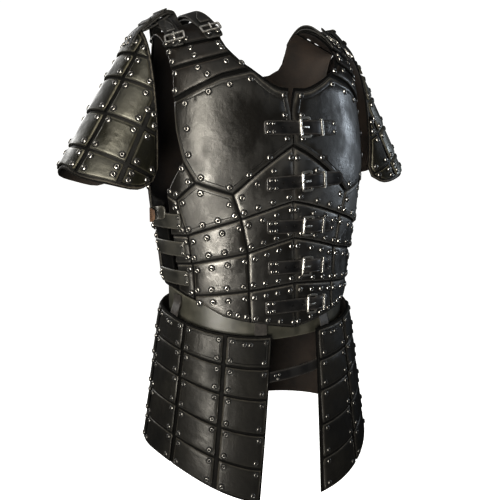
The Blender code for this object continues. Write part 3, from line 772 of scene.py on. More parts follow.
def new_plane() -> Thing:
    """Add a unit plane with nothing else selected.

    Returns:
        The plane.
    """
    clear_selection()
    bpy.ops.mesh.primitive_plane_add(size=1, calc_uvs=False)
    return bpy.context.object


def distance_to(outline: np.ndarray, spots: np.ndarray) -> np.ndarray:
    """Distance of flat points to a closed outline.

    Args:
        outline: Corners of the outline.
        spots: Points to measure.

    Returns:
        One distance a point.
    """
    best = np.full(len(spots), 1e9)
    for start, end in zip(outline, np.roll(outline, -1, axis=0)):
        along = end - start
        share = np.clip((spots - start) @ along / max(along @ along, 1e-12), 0, 1)
        best = np.minimum(best, np.linalg.norm(spots - start - share[:, None] * along, axis=1))
    return best


def fall_in(outline: np.ndarray, spots: np.ndarray) -> np.ndarray:
    """How far down between an outline's upper and lower edge flat points lie.

    Args:
        outline: Corners of the outline.
        spots: Points to measure.

    Returns:
        0 at the upper edge to 1 at the lower one.
    """
    x = np.clip(spots[:, 0], outline[:, 0].min() + 1e-5, outline[:, 0].max() - 1e-5)
    high, low = np.full(len(x), -1e9), np.full(len(x), 1e9)
    for start, end in zip(outline, np.roll(outline, -1, axis=0)):
        if abs(end[0] - start[0]) < 1e-9:
            continue
        share = (x - start[0]) / (end[0] - start[0])
        crossing = start[1] + share * (end[1] - start[1])
        inside = (share >= 0) & (share <= 1)
        high = np.where(inside, np.maximum(high, crossing), high)
        low = np.where(inside, np.minimum(low, crossing), low)
    return np.clip((high - spots[:, 1]) / np.maximum(high - low, 1e-6), 0, 1)


@dataclass
class Cut:
    """How a piece of leather is cut and worked at its edges.

    The profile gives the depth of the outer face at distances from the edge. It is multiplied by
    lip at the upper and lower edge and by inner at the edge nearest the closing line. A groove may
    be pressed along the edge.
    """

    thickness: float = 3.0 * MM
    margin: float = 0.0
    profile: tuple = ((0.0, 2.1 * MM), (1.0 * MM, 1.25 * MM), (3.0 * MM, 0.35 * MM), (4.2 * MM, 0.0))
    pillow: float = 0.5 * MM
    pillow_reach: float = 12 * MM
    tilt: Pair = (0.0, 0.0)
    lip: Pair = (1.0, 1.0)
    inner: float = 1.0
    groove_at: float = 0.0
    groove_depth: float = 0.7 * MM
    groove_half: float = 0.7 * MM
    step: Pair = (9 * MM, 10 * MM)

    def reach(self) -> float:
        """Distance from the cut line to the innermost ring."""
        grooved = self.groove_at + self.groove_half if self.groove_at else 0.0
        return self.margin + max(self.profile[-1][0], grooved)


def without_slivers(corners: list, least: float = 3.0 * MM) -> np.ndarray:
    """Outline without edges too short to inset, its sharper corners kept.

    Args:
        corners: Corners on the flat.
        least: Shortest edge to keep.

    Returns:
        Corners counted counter-clockwise.
    """
    points = [np.array(corner, float) for corner in corners]

    def turn(index: int) -> float:
        """How sharply the outline turns at a corner.

        Args:
            index: Number of the corner.

        Returns:
            Angle in radians.
        """
        one = points[index] - points[index - 1]
        two = points[(index + 1) % len(points)] - points[index]
        size = np.linalg.norm(one) * np.linalg.norm(two)
        return math.pi if size < 1e-12 else math.acos(max(-1.0, min(1.0, float(one @ two) / size)))

    index = 0
    while index < len(points) and len(points) > 3:
        following = (index + 1) % len(points)
        if np.linalg.norm(points[following] - points[index]) < least:
            points.pop(index if turn(index) < turn(following) else following)
            index = 0
        else:
            index += 1
    outline = np.array(points)
    ahead = np.roll(outline, -1, axis=0)
    clockwise = np.sum(outline[:, 0] * ahead[:, 1] - ahead[:, 0] * outline[:, 1]) < 0
    return outline[::-1] if clockwise else outline


def room_inside(outline: np.ndarray) -> float:
    """How far an outline can be inset before one of its edges vanishes.

    Args:
        outline: Corners, counter-clockwise.

    Returns:
        The distance.
    """
    ahead = np.roll(outline, -1, axis=0) - outline
    back = np.roll(ahead, 1, axis=0)
    turn = np.arctan2(back[:, 0] * ahead[:, 1] - back[:, 1] * ahead[:, 0], np.sum(back * ahead, axis=1))
    need = np.tan(turn / 2) + np.tan(np.roll(turn, -1) / 2)
    lengths = np.linalg.norm(ahead, axis=1)
    return float(np.min(np.where(need > 1e-6, lengths / np.maximum(need, 1e-6), 1.0)))


class FlatPiece:
    """A piece of leather on the bench: modelled flat, then bent onto its form."""

    def __init__(self, name: str, outline: list, cut: Cut) -> None:
        """Cut the piece out and give it its thickness.

        Args:
            name: Name of the piece.
            outline: Corners on the flat, in metres.
            cut: How it is cut.
        """
        self.corners, self.cut, self.base = without_slivers(outline), cut, 0.0
        self.scale = min(1.0, 0.9 * room_inside(self.corners) / max(cut.reach(), 1e-6))
        clear_selection()
        bpy.ops.mesh.primitive_circle_add(vertices=len(self.corners), radius=0.1, fill_type="NGON",
                                          calc_uvs=False)
        self.thing = bpy.context.object
        self.thing.name = self.thing.data.name = name
        for vertex, corner in zip(self.thing.data.vertices, self.corners):
            vertex.co = (*corner, 0)
        with editing():
            if cut.margin:
                bpy.ops.mesh.inset(thickness=cut.margin * self.scale)
                bpy.ops.mesh.select_all(action="INVERT")
                bpy.ops.mesh.delete(type="FACE")
                bpy.ops.mesh.select_all(action="SELECT")
            extrude(0, 0, cut.thickness)
            self.rings()
            self.bends()

    def rings(self) -> None:
        """Inset the outer face where the edge is rounded and where a groove runs."""
        places = [place for place, _ in self.cut.profile]
        if self.cut.groove_at:
            places += [self.cut.groove_at + side * self.cut.groove_half for side in (-1, 0, 1)]
        for before, after in zip([0.0, *places], places):
            if after > before:
                bpy.ops.mesh.inset(thickness=(after - before) * self.scale)

    def bends(self) -> None:
        """Bisect the piece on the lines on which it will be bent."""
        for axis in (0, 1):
            low, high = self.corners[:, axis].min(), self.corners[:, axis].max()
            step = self.cut.step[axis]
            for line in range(math.ceil(low / step), math.ceil(high / step)):
                spot, direction = [0.0, 0.0, 0.0], [0.0, 0.0, 0.0]
                spot[axis], direction[axis] = line * step, 1.0
                bpy.ops.mesh.select_all(action="SELECT")
                bpy.ops.mesh.bisect(plane_co=spot, plane_no=direction, threshold=1e-6)

    def punch(self, holes: list, radius: float = 1.6 * MM) -> None:
        """Punch round holes.

        Args:
            holes: Their places on the flat.
            radius: Their radius.
        """
        clear_selection()
        for index, hole in enumerate(holes):
            bpy.ops.mesh.primitive_cylinder_add(vertices=14, radius=radius, depth=0.05, location=(*hole, 0))
            punch = bpy.context.object
            activate(self.thing)
            tool = self.thing.modifiers.new(f"Hole {index + 1}", "BOOLEAN")
            tool.operation, tool.solver, tool.object = "DIFFERENCE", "EXACT", punch
            bpy.ops.object.modifier_apply(modifier=tool.name)
            bpy.data.objects.remove(punch)

    def falls(self, flat: np.ndarray) -> tuple:
        """Shares of the way down the piece, and of the way over it towards the closing line."""
        return fall_in(self.corners, flat[:, :2]), fall_in(self.corners[:, ::-1], flat[:, 1::-1])

    def surface(self, flat: np.ndarray) -> np.ndarray:
        """Height of the outer face over the form.

        Args:
            flat: Flat places.

        Returns:
            One height a place.
        """
        cut = self.cut
        edge = np.maximum(distance_to(self.corners, flat[:, :2]) / self.scale - cut.margin, 0)
        fall, lead = self.falls(flat)
        places, depths = zip(*cut.profile)
        share = (cut.lip[0] + (cut.lip[1] - cut.lip[0]) * fall ** 2) * (1 + (cut.inner - 1) * lead ** 8)
        height = -np.interp(edge, places, depths) * share
        height += cut.pillow * (1 - np.exp(-edge / cut.pillow_reach))
        if cut.groove_at:
            height -= cut.groove_depth * np.clip(1 - np.abs(edge - cut.groove_at) / cut.groove_half, 0, 1)
        return self.base + height + self.tilt(fall)

    def tilt(self, fall: np.ndarray) -> np.ndarray:
        """Height by which a plate's lower part stands out."""
        return self.cut.tilt[0] + (self.cut.tilt[1] - self.cut.tilt[0]) * fall ** 1.5

    def bend(self, form: Form, side: Side, finish: Finish, base: float = 0.0, inner: Finish | None = None,
             lift: Height | None = None) -> Thing:
        """Work the heights and bend the piece.

        Args:
            form: Form that carries it.
            side: Half of the armour.
            finish: Finish of its outer face.
            base: Height of the outer face over the form.
            inner: Finish of the inner face, where it differs.
            lift: Extra height by flat place.

        Returns:
            The finished object, at the origin.
        """
        mesh, cut = self.thing.data, self.cut
        flat = np.empty(len(mesh.vertices) * 3)
        mesh.vertices.foreach_get("co", flat)
        flat = flat.reshape(-1, 3)
        outer = flat[:, 2] > cut.thickness / 2
        self.base = base
        edge = np.maximum(distance_to(self.corners, flat[:, :2]) - cut.margin * self.scale, 0)
        fall, lead = self.falls(flat)
        shape = flat.copy()
        shape[:, 2] = np.where(outer, self.surface(flat), base - cut.thickness + self.tilt(fall))
        if lift:
            shape[:, 2] += lift(flat)
        edge = np.where(outer, np.clip(edge / EDGE_REACH, 0, 1), 0.0)
        self.paint(mesh, flat, {"edge": edge, "fall": fall, "lead": lead})
        self.dress(mesh, flat, cut.thickness, finish, inner)
        mesh.vertices.foreach_set("co", form.bent(shape, side).ravel())
        if side.value * form.facing < 0:
            mesh.flip_normals()
        mesh.update()
        activate(self.thing)
        bpy.ops.object.shade_smooth_by_angle(angle=math.radians(42))
        return self.thing

    @staticmethod
    def paint(mesh: bpy.types.Mesh, flat: np.ndarray, fields: dict) -> None:
        """Keep the flat pattern and some distances for the finishes.

        Args:
            mesh: Mesh of the piece.
            flat: Its flat points.
            fields: Names and values: 0 at the edge to 1 at its reach, and 0 to 1 across the piece.
        """
        for name, values in fields.items():
            layer = mesh.attributes.new(name, "FLOAT", "POINT")
            layer.data.foreach_set("value", values.astype(np.float32))
        corners = np.empty(len(mesh.loops), int)
        mesh.loops.foreach_get("vertex_index", corners)
        pattern = mesh.uv_layers.new(name="Flat")
        pattern.data.foreach_set("uv", flat[corners, :2].astype(np.float32).ravel())

    @staticmethod
    def dress(mesh: bpy.types.Mesh, flat: np.ndarray, thickness: float, finish: Finish,
              inner: Finish | None) -> None:
        """Give the faces their finishes.

        Args:
            mesh: Mesh of the piece.
            flat: Its flat points.
            thickness: Thickness of the leather.
            finish: Finish of the outer face.
            inner: Finish of the inner face, where it differs.
        """
        mesh.materials.clear()
        mesh.materials.append(finish.material())
        if inner:
            mesh.materials.append(inner.material())
            for face in mesh.polygons:
                face.material_index = int(max(flat[v, 2] for v in face.vertices) < thickness / 2)


def keep(thing: Thing, slot: str, *nodes: str) -> None:
    """Let a finished piece ride on the armour and stand for its CAD nodes.

    Args:
        thing: The piece.
        slot: Not used.
        nodes: CAD nodes that it replaces.
    """
    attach(thing, BODY)
    if nodes:
        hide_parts(*nodes)
    LOG.info("%s: %d faces, stands for %s", thing.name, len(thing.data.polygons),
             ", ".join(nodes) or "no node")


def join(name: str, things: list) -> Thing:
    """Join objects into one.

    Args:
        name: Name of the joined piece.
        things: Objects to join; each has its own mesh.

    Returns:
        The joined object.
    """
    activate(things[0])
    for thing in things[1:]:
        thing.select_set(True)
    if len(things) > 1:
        bpy.ops.object.join()
    things[0].name = things[0].data.name = name
    return things[0]


def row_along(start: Pair, end: Pair, count: int, inward: float, ends: float | Pair) -> list:
    """Places of rivets in a row beside an edge.

    Args:
        start: Where the edge begins, on the flat.
        end: Where it ends.
        count: Number of rivets.
        inward: Distance from the edge, positive to the left of its direction.
        ends: Distance of the first and the last rivet from the edge's ends.

    Returns:
        Their flat places.
    """
    one, two = Vector(start), Vector(end)
    along = (two - one).normalized()
    over = Vector((-along.y, along.x)) * inward
    length = (two - one).length
    first, last = ends if isinstance(ends, tuple) else (ends, ends)
    shares = [(first + (length - first - last) * i / max(count - 1, 1)) / length for i in range(count)]
    return [tuple(one + (two - one) * share + over) for share in shares]


# ---- Steel


@dataclass
class Rivet:
    """Tubular rivet with a domed rim round a dimple, modelled once and copied.

    Each step from the ring of painted shade round it to the dimple is an inset as a share of the
    radius and a rise as a share of the height; the ring and the dimple's floor are painted shade.
    """

    radius: float = 5.0 * MM
    height: float = 2.5 * MM
    sides: int = 12
    ring: float = 0.22
    steps: tuple = ((0.03, 0.32), (0.16, 0.40), (0.20, 0.20), (0.13, -0.04), (0.10, -0.42))
    steel_from: float = 0.42
    steel_to: float = 1.02
    finish: Finish = STEEL

    def model(self) -> Thing:
        """Model one rivet standing on the origin.

        Returns:
            The pattern for the copies.
        """
        clear_selection()
        bpy.ops.mesh.primitive_circle_add(vertices=self.sides, radius=self.radius * (1 + self.ring),
                                          fill_type="NGON", calc_uvs=False)
        thing = bpy.context.object
        with editing():
            extrude(0, 0, 0.25 * MM)
            for inset, rise in ((self.ring, 0.0), *self.steps):
                bpy.ops.mesh.inset(thickness=inset * self.radius)
                bpy.ops.transform.translate(value=(0, 0, rise * self.height))
        # Painted shade: the ring round the foot and the dimple's floor get the dark finish.
        for finish in (self.finish, RIVET_SHADE):
            thing.data.materials.append(finish.material())
        for face in thing.data.polygons:
            reach = Vector(face.center[:2]).length / self.radius
            face.material_index = int(not self.steel_from <= reach <= self.steel_to)
        return thing

    def set(self, name: str, seats: list) -> None:
        """Set copies of the rivet as one finished piece.

        Args:
            name: Name of the piece.
            seats: Frames on which they sit.
        """
        pattern, copies = self.model(), []
        for seat in seats:
            copy = pattern.copy()
            copy.data = pattern.data.copy()
            bpy.context.scene.collection.objects.link(copy)
            copy.data.transform(seat)
            copies.append(copy)
        bpy.data.objects.remove(pattern)
        thing = join(name, copies)
        bpy.ops.object.shade_smooth_by_angle(angle=math.radians(75))
        keep(thing, "antique_steel")


@dataclass
class Buckle:
    """Steel frame with a prong, lying in the xy plane with the prong along x."""

    width: float = 22.0 * MM
    height: float = 35.0 * MM
    wire: float = 3.6 * MM
    prong_share: float = 0.80
    prong_root: float = 0.52

    def frame(self) -> Thing:
        """Model the rounded rectangular frame.

        Returns:
            The frame.
        """
        thing = new_plane()
        with editing("VERT"):
            bpy.ops.transform.resize(value=(self.width, self.height, 1))
            bpy.ops.mesh.bevel(offset=self.wire, segments=3, affect="VERTICES")
            bpy.ops.mesh.select_mode(type="FACE")
            bpy.ops.mesh.select_all(action="SELECT")
            bpy.ops.mesh.inset(thickness=self.wire)
            bpy.ops.mesh.delete(type="FACE")
            bpy.ops.mesh.select_all(action="SELECT")
            extrude(0, 0, self.wire * 0.8)
        return self.round_off(thing, self.wire * 0.3)

    def roller(self) -> Thing:
        """Model the roller on the front bar.

        Returns:
            The roller.
        """
        clear_selection()
        bpy.ops.mesh.primitive_cylinder_add(vertices=14, radius=self.wire * 0.72, calc_uvs=False,
                                            depth=self.height - 2.3 * self.wire, end_fill_type="NGON")
        thing = bpy.context.object
        with editing():
            bpy.ops.transform.rotate(value=math.pi / 2, orient_axis="X", center_override=(0, 0, 0))
            bpy.ops.transform.translate(value=(-(self.width - self.wire) / 2, 0, self.wire * 0.45))
        return self.round_off(thing, self.wire * 0.14)

    def prong(self) -> Thing:
        """Model the prong, which comes up through the strap and rests on the front bar.

        Returns:
            The prong.
        """
        length, root = self.width * self.prong_share, self.width * self.prong_root
        thing = new_plane()
        with editing():
            bpy.ops.transform.resize(value=(length, self.wire * 0.95, 1))
            bpy.ops.transform.translate(value=(length / 2 - root, 0, self.wire * 1.05))
            bpy.ops.mesh.subdivide(number_cuts=4)
            bpy.ops.mesh.select_all(action="SELECT")
            extrude(0, 0, self.wire * 0.75)
        for vertex in thing.data.vertices:
            share = max((vertex.co.x + root) / length, 0.0)
            vertex.co.z -= share ** 1.5 * self.wire * 0.6
            vertex.co.z += self.wire * 0.2 * math.sin(math.pi * min(share * 2, 1))
            if share < 0.1:
                vertex.co.y *= 0.75
        return self.round_off(thing, self.wire * 0.2)

    @staticmethod
    def round_off(thing: Thing, width: float) -> Thing:
        """Bevel an object's sharp edges, apply it and finish the steel.

        Args:
            thing: The object.
            width: Width of the bevel.

        Returns:
            The same object.
        """
        activate(thing)
        bevel = thing.modifiers.new("Bevel", "BEVEL")
        bevel.width, bevel.segments, bevel.limit_method = width, 3, "ANGLE"
        bpy.ops.object.modifier_apply(modifier="Bevel")
        thing.data.materials.append(BUCKLE_STEEL.material())
        return thing

    @staticmethod
    def draw_out(thing: Thing, picked: Callable[[bpy.types.MeshPolygon], bool], push: tuple) -> None:
        """Extrude the faces that a test picks.

        Args:
            thing: The active object.
            picked: Test of a face.
            push: How far the faces go.
        """
        for face in thing.data.polygons:
            face.select = picked(face)
        bpy.ops.object.mode_set(mode="EDIT")
        extrude(*push)
        bpy.ops.mesh.select_all(action="DESELECT")
        bpy.ops.object.mode_set(mode="OBJECT")

    def keeper(self, breadth: float, wall: float = 1.4 * MM, band: float = 4.5 * MM,
               drop: float = 4.5 * MM) -> Thing:
        """Model the steel loop that holds a strap's end down.

        Args:
            breadth: Width that it spans.
            wall: Thickness of its metal.
            band: Its own width.
            drop: Height of its legs.

        Returns:
            The loop.
        """
        thing = new_plane()
        with editing():
            bpy.ops.transform.resize(value=(band, breadth - 2 * wall, 1))
            extrude(0, 0, wall)
            bpy.ops.mesh.select_all(action="DESELECT")
        for sign in (1, -1):
            self.draw_out(thing, lambda face: face.normal.y * sign > 0.9, (0, sign * wall, 0))
        inner = breadth / 2 - wall
        self.draw_out(thing, lambda face: face.normal.z < -0.9 and abs(face.center.y) > inner, (0, 0, -drop))
        return self.round_off(thing, wall * 0.3)

    @staticmethod
    def placed(thing: Thing, seat: Matrix) -> Thing:
        """Move a part's mesh into a frame and shade it smooth.

        Args:
            thing: The part.
            seat: Frame to move it into.

        Returns:
            The same part.
        """
        thing.data.transform(seat)
        if seat.determinant() < 0:
            thing.data.flip_normals()
        activate(thing)
        bpy.ops.object.shade_smooth_by_angle(angle=math.radians(50))
        return thing


# ---- Outlines on the flat


def strip(left: float, right: float, low: float, high: float) -> list:
    """Corners of a flat rectangle."""
    return [(left, low), (right, low), (right, high), (left, high)]


def rounded(corners: list, radius: float, steps: int, most: float = 0.4) -> list:
    """Round the corners of a flat outline.

    Args:
        corners: Corners on the flat.
        radius: Radius of the rounding.
        steps: Points in each corner.
        most: Share of an edge that one corner may take.

    Returns:
        The rounded outline.
    """
    outline = []
    for index, corner in enumerate(corners):
        before, after = Vector(corners[index - 1]), Vector(corners[(index + 1) % len(corners)])
        spot = Vector(corner)
        back, ahead = (before - spot), (after - spot)
        reach = min(radius, back.length * most, ahead.length * most)
        one, two = spot + back.normalized() * reach, spot + ahead.normalized() * reach
        for step in range(steps + 1):
            share = step / steps
            outline.append(tuple((1 - share) ** 2 * one + 2 * share * (1 - share) * spot + share ** 2 * two))
    return outline


def spline(points: list | tuple, steps: int = 3) -> list:
    """Smooth line through points.

    Args:
        points: Pairs to pass through.
        steps: Steps between two of them.

    Returns:
        Denser points, both ends included.
    """
    table = tuple((float(i), *p) for i, p in enumerate(points))
    count = (len(points) - 1) * steps
    return [(catmull(table, i / steps, 1), catmull(table, i / steps, 2)) for i in range(count + 1)]


def area(corners: list) -> float:
    """Area of a flat outline."""
    (x, y), (next_x, next_y) = np.transpose(corners), np.roll(np.transpose(corners), -1, axis=1)
    return abs(float(np.sum(x * next_y - next_x * y))) / 2


def drawn_in(corners: list, rim: float) -> list:
    """Outline drawn in by the width of a rim.

    Args:
        corners: Corners on the flat.
        rim: Width of the rim.

    Returns:
        The inner corners.
    """
    outline = np.array(corners)
    ahead = np.roll(outline, -1, axis=0) - np.roll(outline, 1, axis=0)
    inward = np.stack((-ahead[:, 1], ahead[:, 0]), axis=1)
    inward /= np.linalg.norm(inward, axis=1, keepdims=True)
    if np.sum(inward * (outline.mean(axis=0) - outline)) < 0:
        inward = -inward
    return [tuple(spot) for spot in outline + inward * rim]


def clip(subject: list, box: list) -> list:
    """Part of an outline inside a convex box.

    Args:
        subject: Outline to clip.
        box: Corners of the box, counter-clockwise.

    Returns:
        Corners of what is left.
    """
    result = list(subject)
    for start, end in zip(box, box[1:] + box[:1]):
        source, result = result, []
        for index, spot in enumerate(source):
            before = source[index - 1]
            was, now = ((end[0] - start[0]) * (p[1] - start[1]) - (end[1] - start[1]) * (p[0] - start[0])
                        for p in (before, spot))
            if (was > 0) != (now > 0):
                share = was / (was - now)
                result.append(tuple(a + (b - a) * share for a, b in zip(before, spot)))
            if now > 0:
                result.append(spot)
        if not result:
            return []
    return result


def corner_spots(corners: list, inward: float, near: float = 0.75, drawn: float = 1.35,
                 apart: float = 1.32) -> list:
    """Places of a plate's four corner rivets, or fewer on a small plate.

    Args:
        corners: Outline of the plate.
        inward: Distance from both edges.
        near: Share of that distance at which a rivet is too close to an edge.
        drawn: Share of it by which such a rivet lies from its corner towards the middle.
        apart: Share of it by which rivets must lie apart.

    Returns:
        Flat places.
    """
    points = np.array(corners)
    middle = points.mean(axis=0)
    spots = []
    for way in np.array(((-1, 1), (1, 1), (1, -1), (-1, -1))):
        corner = points[np.argmax(points @ way)]
        spot = corner - way * inward
        if distance_to(points, np.array([spot]))[0] < inward * near:
            spot = corner + (middle - corner) / max(np.linalg.norm(middle - corner), 1e-6) * inward * drawn
        if all(np.linalg.norm(spot - other) > apart * inward for other in spots):
            spots.append(spot)
    return [tuple(spot) for spot in spots]


def seats_on(piece: FlatPiece, form: Form, side: Side, spots: list) -> list:
    """Frames in which rivets sit on a piece of leather.

    Args:
        piece: The leather.
        form: Form that carries it.
        side: Half of the armour.
        spots: Flat places of the rivets.

    Returns:
        One frame a rivet.
    """
    heights = piece.surface(np.array([(*spot, 0.0) for spot in spots]))
    return [form.seat(spot, float(height) - RIVET_SINK, side) for spot, height in zip(spots, heights)]


def eased(run: np.ndarray, length: float) -> np.ndarray:
    """Share of a length that a run has covered, eased at both ends."""
    share = np.clip(run / length, 0, 1)
    return share ** 2 * (3 - 2 * share)


# ---- Cuts


RIVET_SINK = 0.1 * MM
STRAP_CORNER = 4.2 * MM
SHELL_HEIGHT = -3.5 * MM
LINING_HEIGHT = -3.2 * MM


def plain_cut(thickness: float, depth: float, width: float, step: Pair = (9 * MM, 10 * MM),
              pillow: float = 0.0) -> Cut:
    """How a piece with a plain broken edge is cut."""
    return Cut(thickness, profile=((0.0, depth), (width, 0.0)), pillow=pillow, step=step)


def strap_cut(thickness: float, step: Pair, pillow: float = 0.15 * MM) -> Cut:
    """How a strap with a line pressed along its edges is cut."""
    return Cut(thickness, profile=((0.0, 0.9 * MM), (0.4 * MM, 0.35 * MM), (0.9 * MM, 0.0)), pillow=pillow,
               groove_at=2.6 * MM, groove_depth=0.3 * MM, step=step)


def plate_cut(**more: object) -> Cut:
    """How a plate with rolled edges is cut, the upper one more than the lower."""
    return Cut(lip=(1.3, 0.4), **more)


TORSO_TILT = (-0.9 * MM, 1.4 * MM)
SMALL_TILT = (-0.3 * MM, 1.6 * MM)
TORSO_CUT = plate_cut(margin=1.7 * MM, tilt=TORSO_TILT)
CENTRE_CUT = plate_cut(margin=1.7 * MM, tilt=TORSO_TILT, inner=0.25)
EDGE_CUT = plate_cut(margin=1.7 * MM, tilt=TORSO_TILT, groove_at=6.6 * MM)
CHEST_CUT = plate_cut(margin=2.2 * MM, tilt=(-0.6 * MM, 1.7 * MM), inner=0.3, groove_at=7.0 * MM,
                      pillow=0.8 * MM)
SLEEVE_CUT = plate_cut(thickness=2.6 * MM, tilt=SMALL_TILT, step=(6 * MM, 12 * MM))
SHELL_CUT = plain_cut(2.5 * MM, 0.5 * MM, 0.6 * MM)


# ---- Sub-assemblies

# Lines that plates share, in degrees round the body and shares of the drop or of the arch.
CENTRE = 0.25
CENTRE_PLATE = -0.35
NECKLINE = ((1.2, -0.067), (4.5, -0.070), (8.3, -0.088), (14.0, -0.138), (20.5, -0.207), (26.2, -0.275),
            (30.6, -0.375), (32.5, -0.473), (31.3, -0.600), (29.3, -0.800), (29.0, -0.970))
ARMHOLE = ((77.0, -0.970), (74.5, -0.550), (73.0, -0.270), (72.5, 0.020), (69.0, 0.130), (63.0, 0.258))
ARMPIT = (79.0, 0.398)
CHEST_CORNER = (54.3, 0.349)
SIDE_EDGE = 79.0
FOOT_CORNER = (43.0, 0.925)
BELLY = (
    # upper ends of a row's three lines: at the centre, at the inner seam and at the outer seam
    ((CENTRE_PLATE, 0.192), (31.6, 0.399), (70.2, 0.423)),
    ((CENTRE_PLATE, 0.432), (27.8, 0.502), (64.6, 0.572)),
    ((CENTRE_PLATE, 0.592), (25.4, 0.648), (63.6, 0.693)),
    ((CENTRE_PLATE, 0.795), (26.2, 0.814), (64.0, 0.834)),
    ((CENTRE_PLATE, 1.000), (26.0, 0.955), (64.5, 0.853)),
)
SIDE_ROWS = (0.398, 0.575, 0.700, 0.820)
LAME_LINES = (
    # a band's ends at the neck and at the armhole
    ((21.8, -0.207), (72.3, 0.006)),
    ((31.0, -0.340), (72.8, -0.273)),
    ((32.0, -0.505), (74.2, -0.520)),
    ((29.2, -0.930), (76.8, -0.930)),
)


@dataclass
class FrontHalf:
    """Half of the front: its shell, plates and rivets."""

    side: Side
    rivet_in: float = 9.0 * MM
    rivet_under: float = 13.0 * MM
    seats: list = field(default_factory=list)

    def bend(self, name: str, spots: list, cut: Cut = TORSO_CUT, finish: Finish = PLATE) -> Thing:
        """Cut one plate and bend it onto the torso.

        Args:
            name: Name of the plate without the side.
            spots: Outline in degrees and shares.
            cut: How it is cut.
            finish: Its finish.

        Returns:
            The plate.
        """
        self.corners = TORSO.flats(spots)
        self.piece = FlatPiece(f"leather_{name}_{self.side.word}", self.corners, cut)
        return self.piece.bend(TORSO, self.side, finish)

    def plate(self, name: str, *made: object) -> None:
        """Make one plate that stands for its CAD node."""
        keep(self.bend(name, *made), "black_leather", f"{name}_{self.side.word}")

    def rivets(self, *spots: Pair) -> None:
        """Note rivets at places of the plate made last, in degrees and shares."""
        self.seats += seats_on(self.piece, TORSO, self.side, TORSO.flats(spots))

    def row(self, start: int, end: int, *how: object) -> None:
        """Note a row of rivets between two corners of the plate made last."""
        spots = row_along(self.corners[start], self.corners[end], *how)
        self.seats += seats_on(self.piece, TORSO, self.side, spots)

    def shell(self) -> None:
        """Shell under the plates, with its neckline, armhole and pointed foot."""
        inner, outer = BELLY[-1][1:]
        foot = [(SIDE_EDGE, SIDE_ROWS[-1]), outer, FOOT_CORNER, inner, (CENTRE, BELLY[-1][0][1])]
        spots = [(CENTRE, 0.05), *spline(NECKLINE), *spline(ARMHOLE), ARMPIT, *foot]
        name = f"front_shell_{self.side.word}"
        piece = FlatPiece("leather_" + name, TORSO.flats(spots), SHELL_CUT)
        keep(piece.bend(TORSO, self.side, SHELL, SHELL_HEIGHT, RAW), "raw_leather", name)

    def chest(self) -> None:
        """Large chest plate with a groove pressed along its edges, and the small armpit plate."""
        neck = spline(((4.5, -0.062), (8.3, -0.080), (14.0, -0.130), (19.2, -0.190)), 4)
        arm = spline(((72.3, 0.014), (69.0, 0.130), (63.0, 0.258)), 4)
        shoulder = [(21.2, -0.199), (38.0, -0.163), (50.4, -0.097)]
        self.plate("chest_plate", [BELLY[0][0], (CENTRE_PLATE, 0.06), (1.0, -0.060), *neck, *shoulder, *arm,
                                   CHEST_CORNER, BELLY[0][1]], CHEST_CUT)
        self.rivets((45.8, -0.040), (33.0, -0.092), (21.5, -0.125), (61.9, 0.028), (59.7, 0.130),
                    (58.3, 0.235), (3.6, -0.020), (3.6, 0.068), (3.3, 0.168), (12.0, 0.247), (22.7, 0.317),
                    (33.5, 0.368), (50.3, 0.327))
        self.plate("armpit_plate", [ARMHOLE[-1], ARMPIT, BELLY[0][2], CHEST_CORNER])
        self.rivets((63.4, 0.292), (59.0, 0.345), (74.6, 0.388), (69.3, 0.396))

    def belly(self) -> None:
        """Four rows of plates below the chest."""
        for row, finish in enumerate(BELLY_LEATHERS):
            (centre, inner, outer), (low_centre, low_inner, low_outer) = BELLY[row], BELLY[row + 1]
            self.plate(f"belly_centre_{row + 1}", [centre, inner, low_inner, low_centre], CENTRE_CUT, finish)
            self.row(0, 1, 4, -self.rivet_under, (9 * MM if row else 18 * MM, 8 * MM))
            self.row(3, 2, 4, self.rivet_in, (6 * MM, 8 * MM))
            corners = [inner, outer, low_outer, low_inner]
            if row == 0:
                corners.insert(1, CHEST_CORNER)
            if row == 3:
                corners.insert(3, FOOT_CORNER)
            self.plate(f"belly_middle_{row + 1}", corners, TORSO_CUT if row else EDGE_CUT, finish)
            if row == 0:
                self.rivets((51.5, 0.392), (64.9, 0.434), (34.0, 0.440))
            else:
                self.row(0, 1, 4, -self.rivet_under, 9 * MM)
            self.row(-1, -2, 3 if row == 3 else 4, self.rivet_in, 9 * MM)

    def side_strip(self) -> None:
        """Three plates along the side opening, which stand for its one node."""
        seam = [BELLY[row][2] for row in (0, 1, 2, 4)]
        things = []
        for row in range(3):
            edge = [(SIDE_EDGE, share) for share in SIDE_ROWS[row:row + 2]]
            things.append(self.bend(f"side_part_{row + 1}", [seam[row], *edge, seam[row + 1]]))
            self.row(0, 3, 2, self.rivet_in * 0.8, 11 * MM)
        name = f"side_plate_{self.side.word}"
        keep(join("leather_" + name, things), "black_leather", name)

    def lames(self) -> None:
        """Three bands over the shoulder, each riveted in three pairs."""
        for index, name in enumerate(("lower_lame", "upper_lame", "cap_lame")):
            (neck, arm), (high_neck, high_arm) = LAME_LINES[index:index + 2]
            spots = [neck, high_neck, high_arm, arm]
            if index == 0:
                spots = [neck, (26.6, -0.268), *spots[1:], (50.4, -0.101), (38.0, -0.167)]
            self.plate(name, spots, TORSO_CUT, LAME)
            low, high = TORSO.flats((neck, arm)), TORSO.flats((high_neck, high_arm))
            below = row_along(*low, 3, self.rivet_in, 10 * MM)
            if index == 0:
                below[1] = TORSO.flat(46.1, -0.182)
            above = row_along(*high, 3, -self.rivet_in, 10 * MM) if index < 2 else []
            self.seats += seats_on(self.piece, TORSO, self.side, above + below)

    def build(self) -> None:
        """Build the half and set its rivets."""
        self.shell()
        self.chest()
        self.belly()
        self.side_strip()
        self.lames()
        Rivet().set(f"rivets_front_{self.side.word}", self.seats)


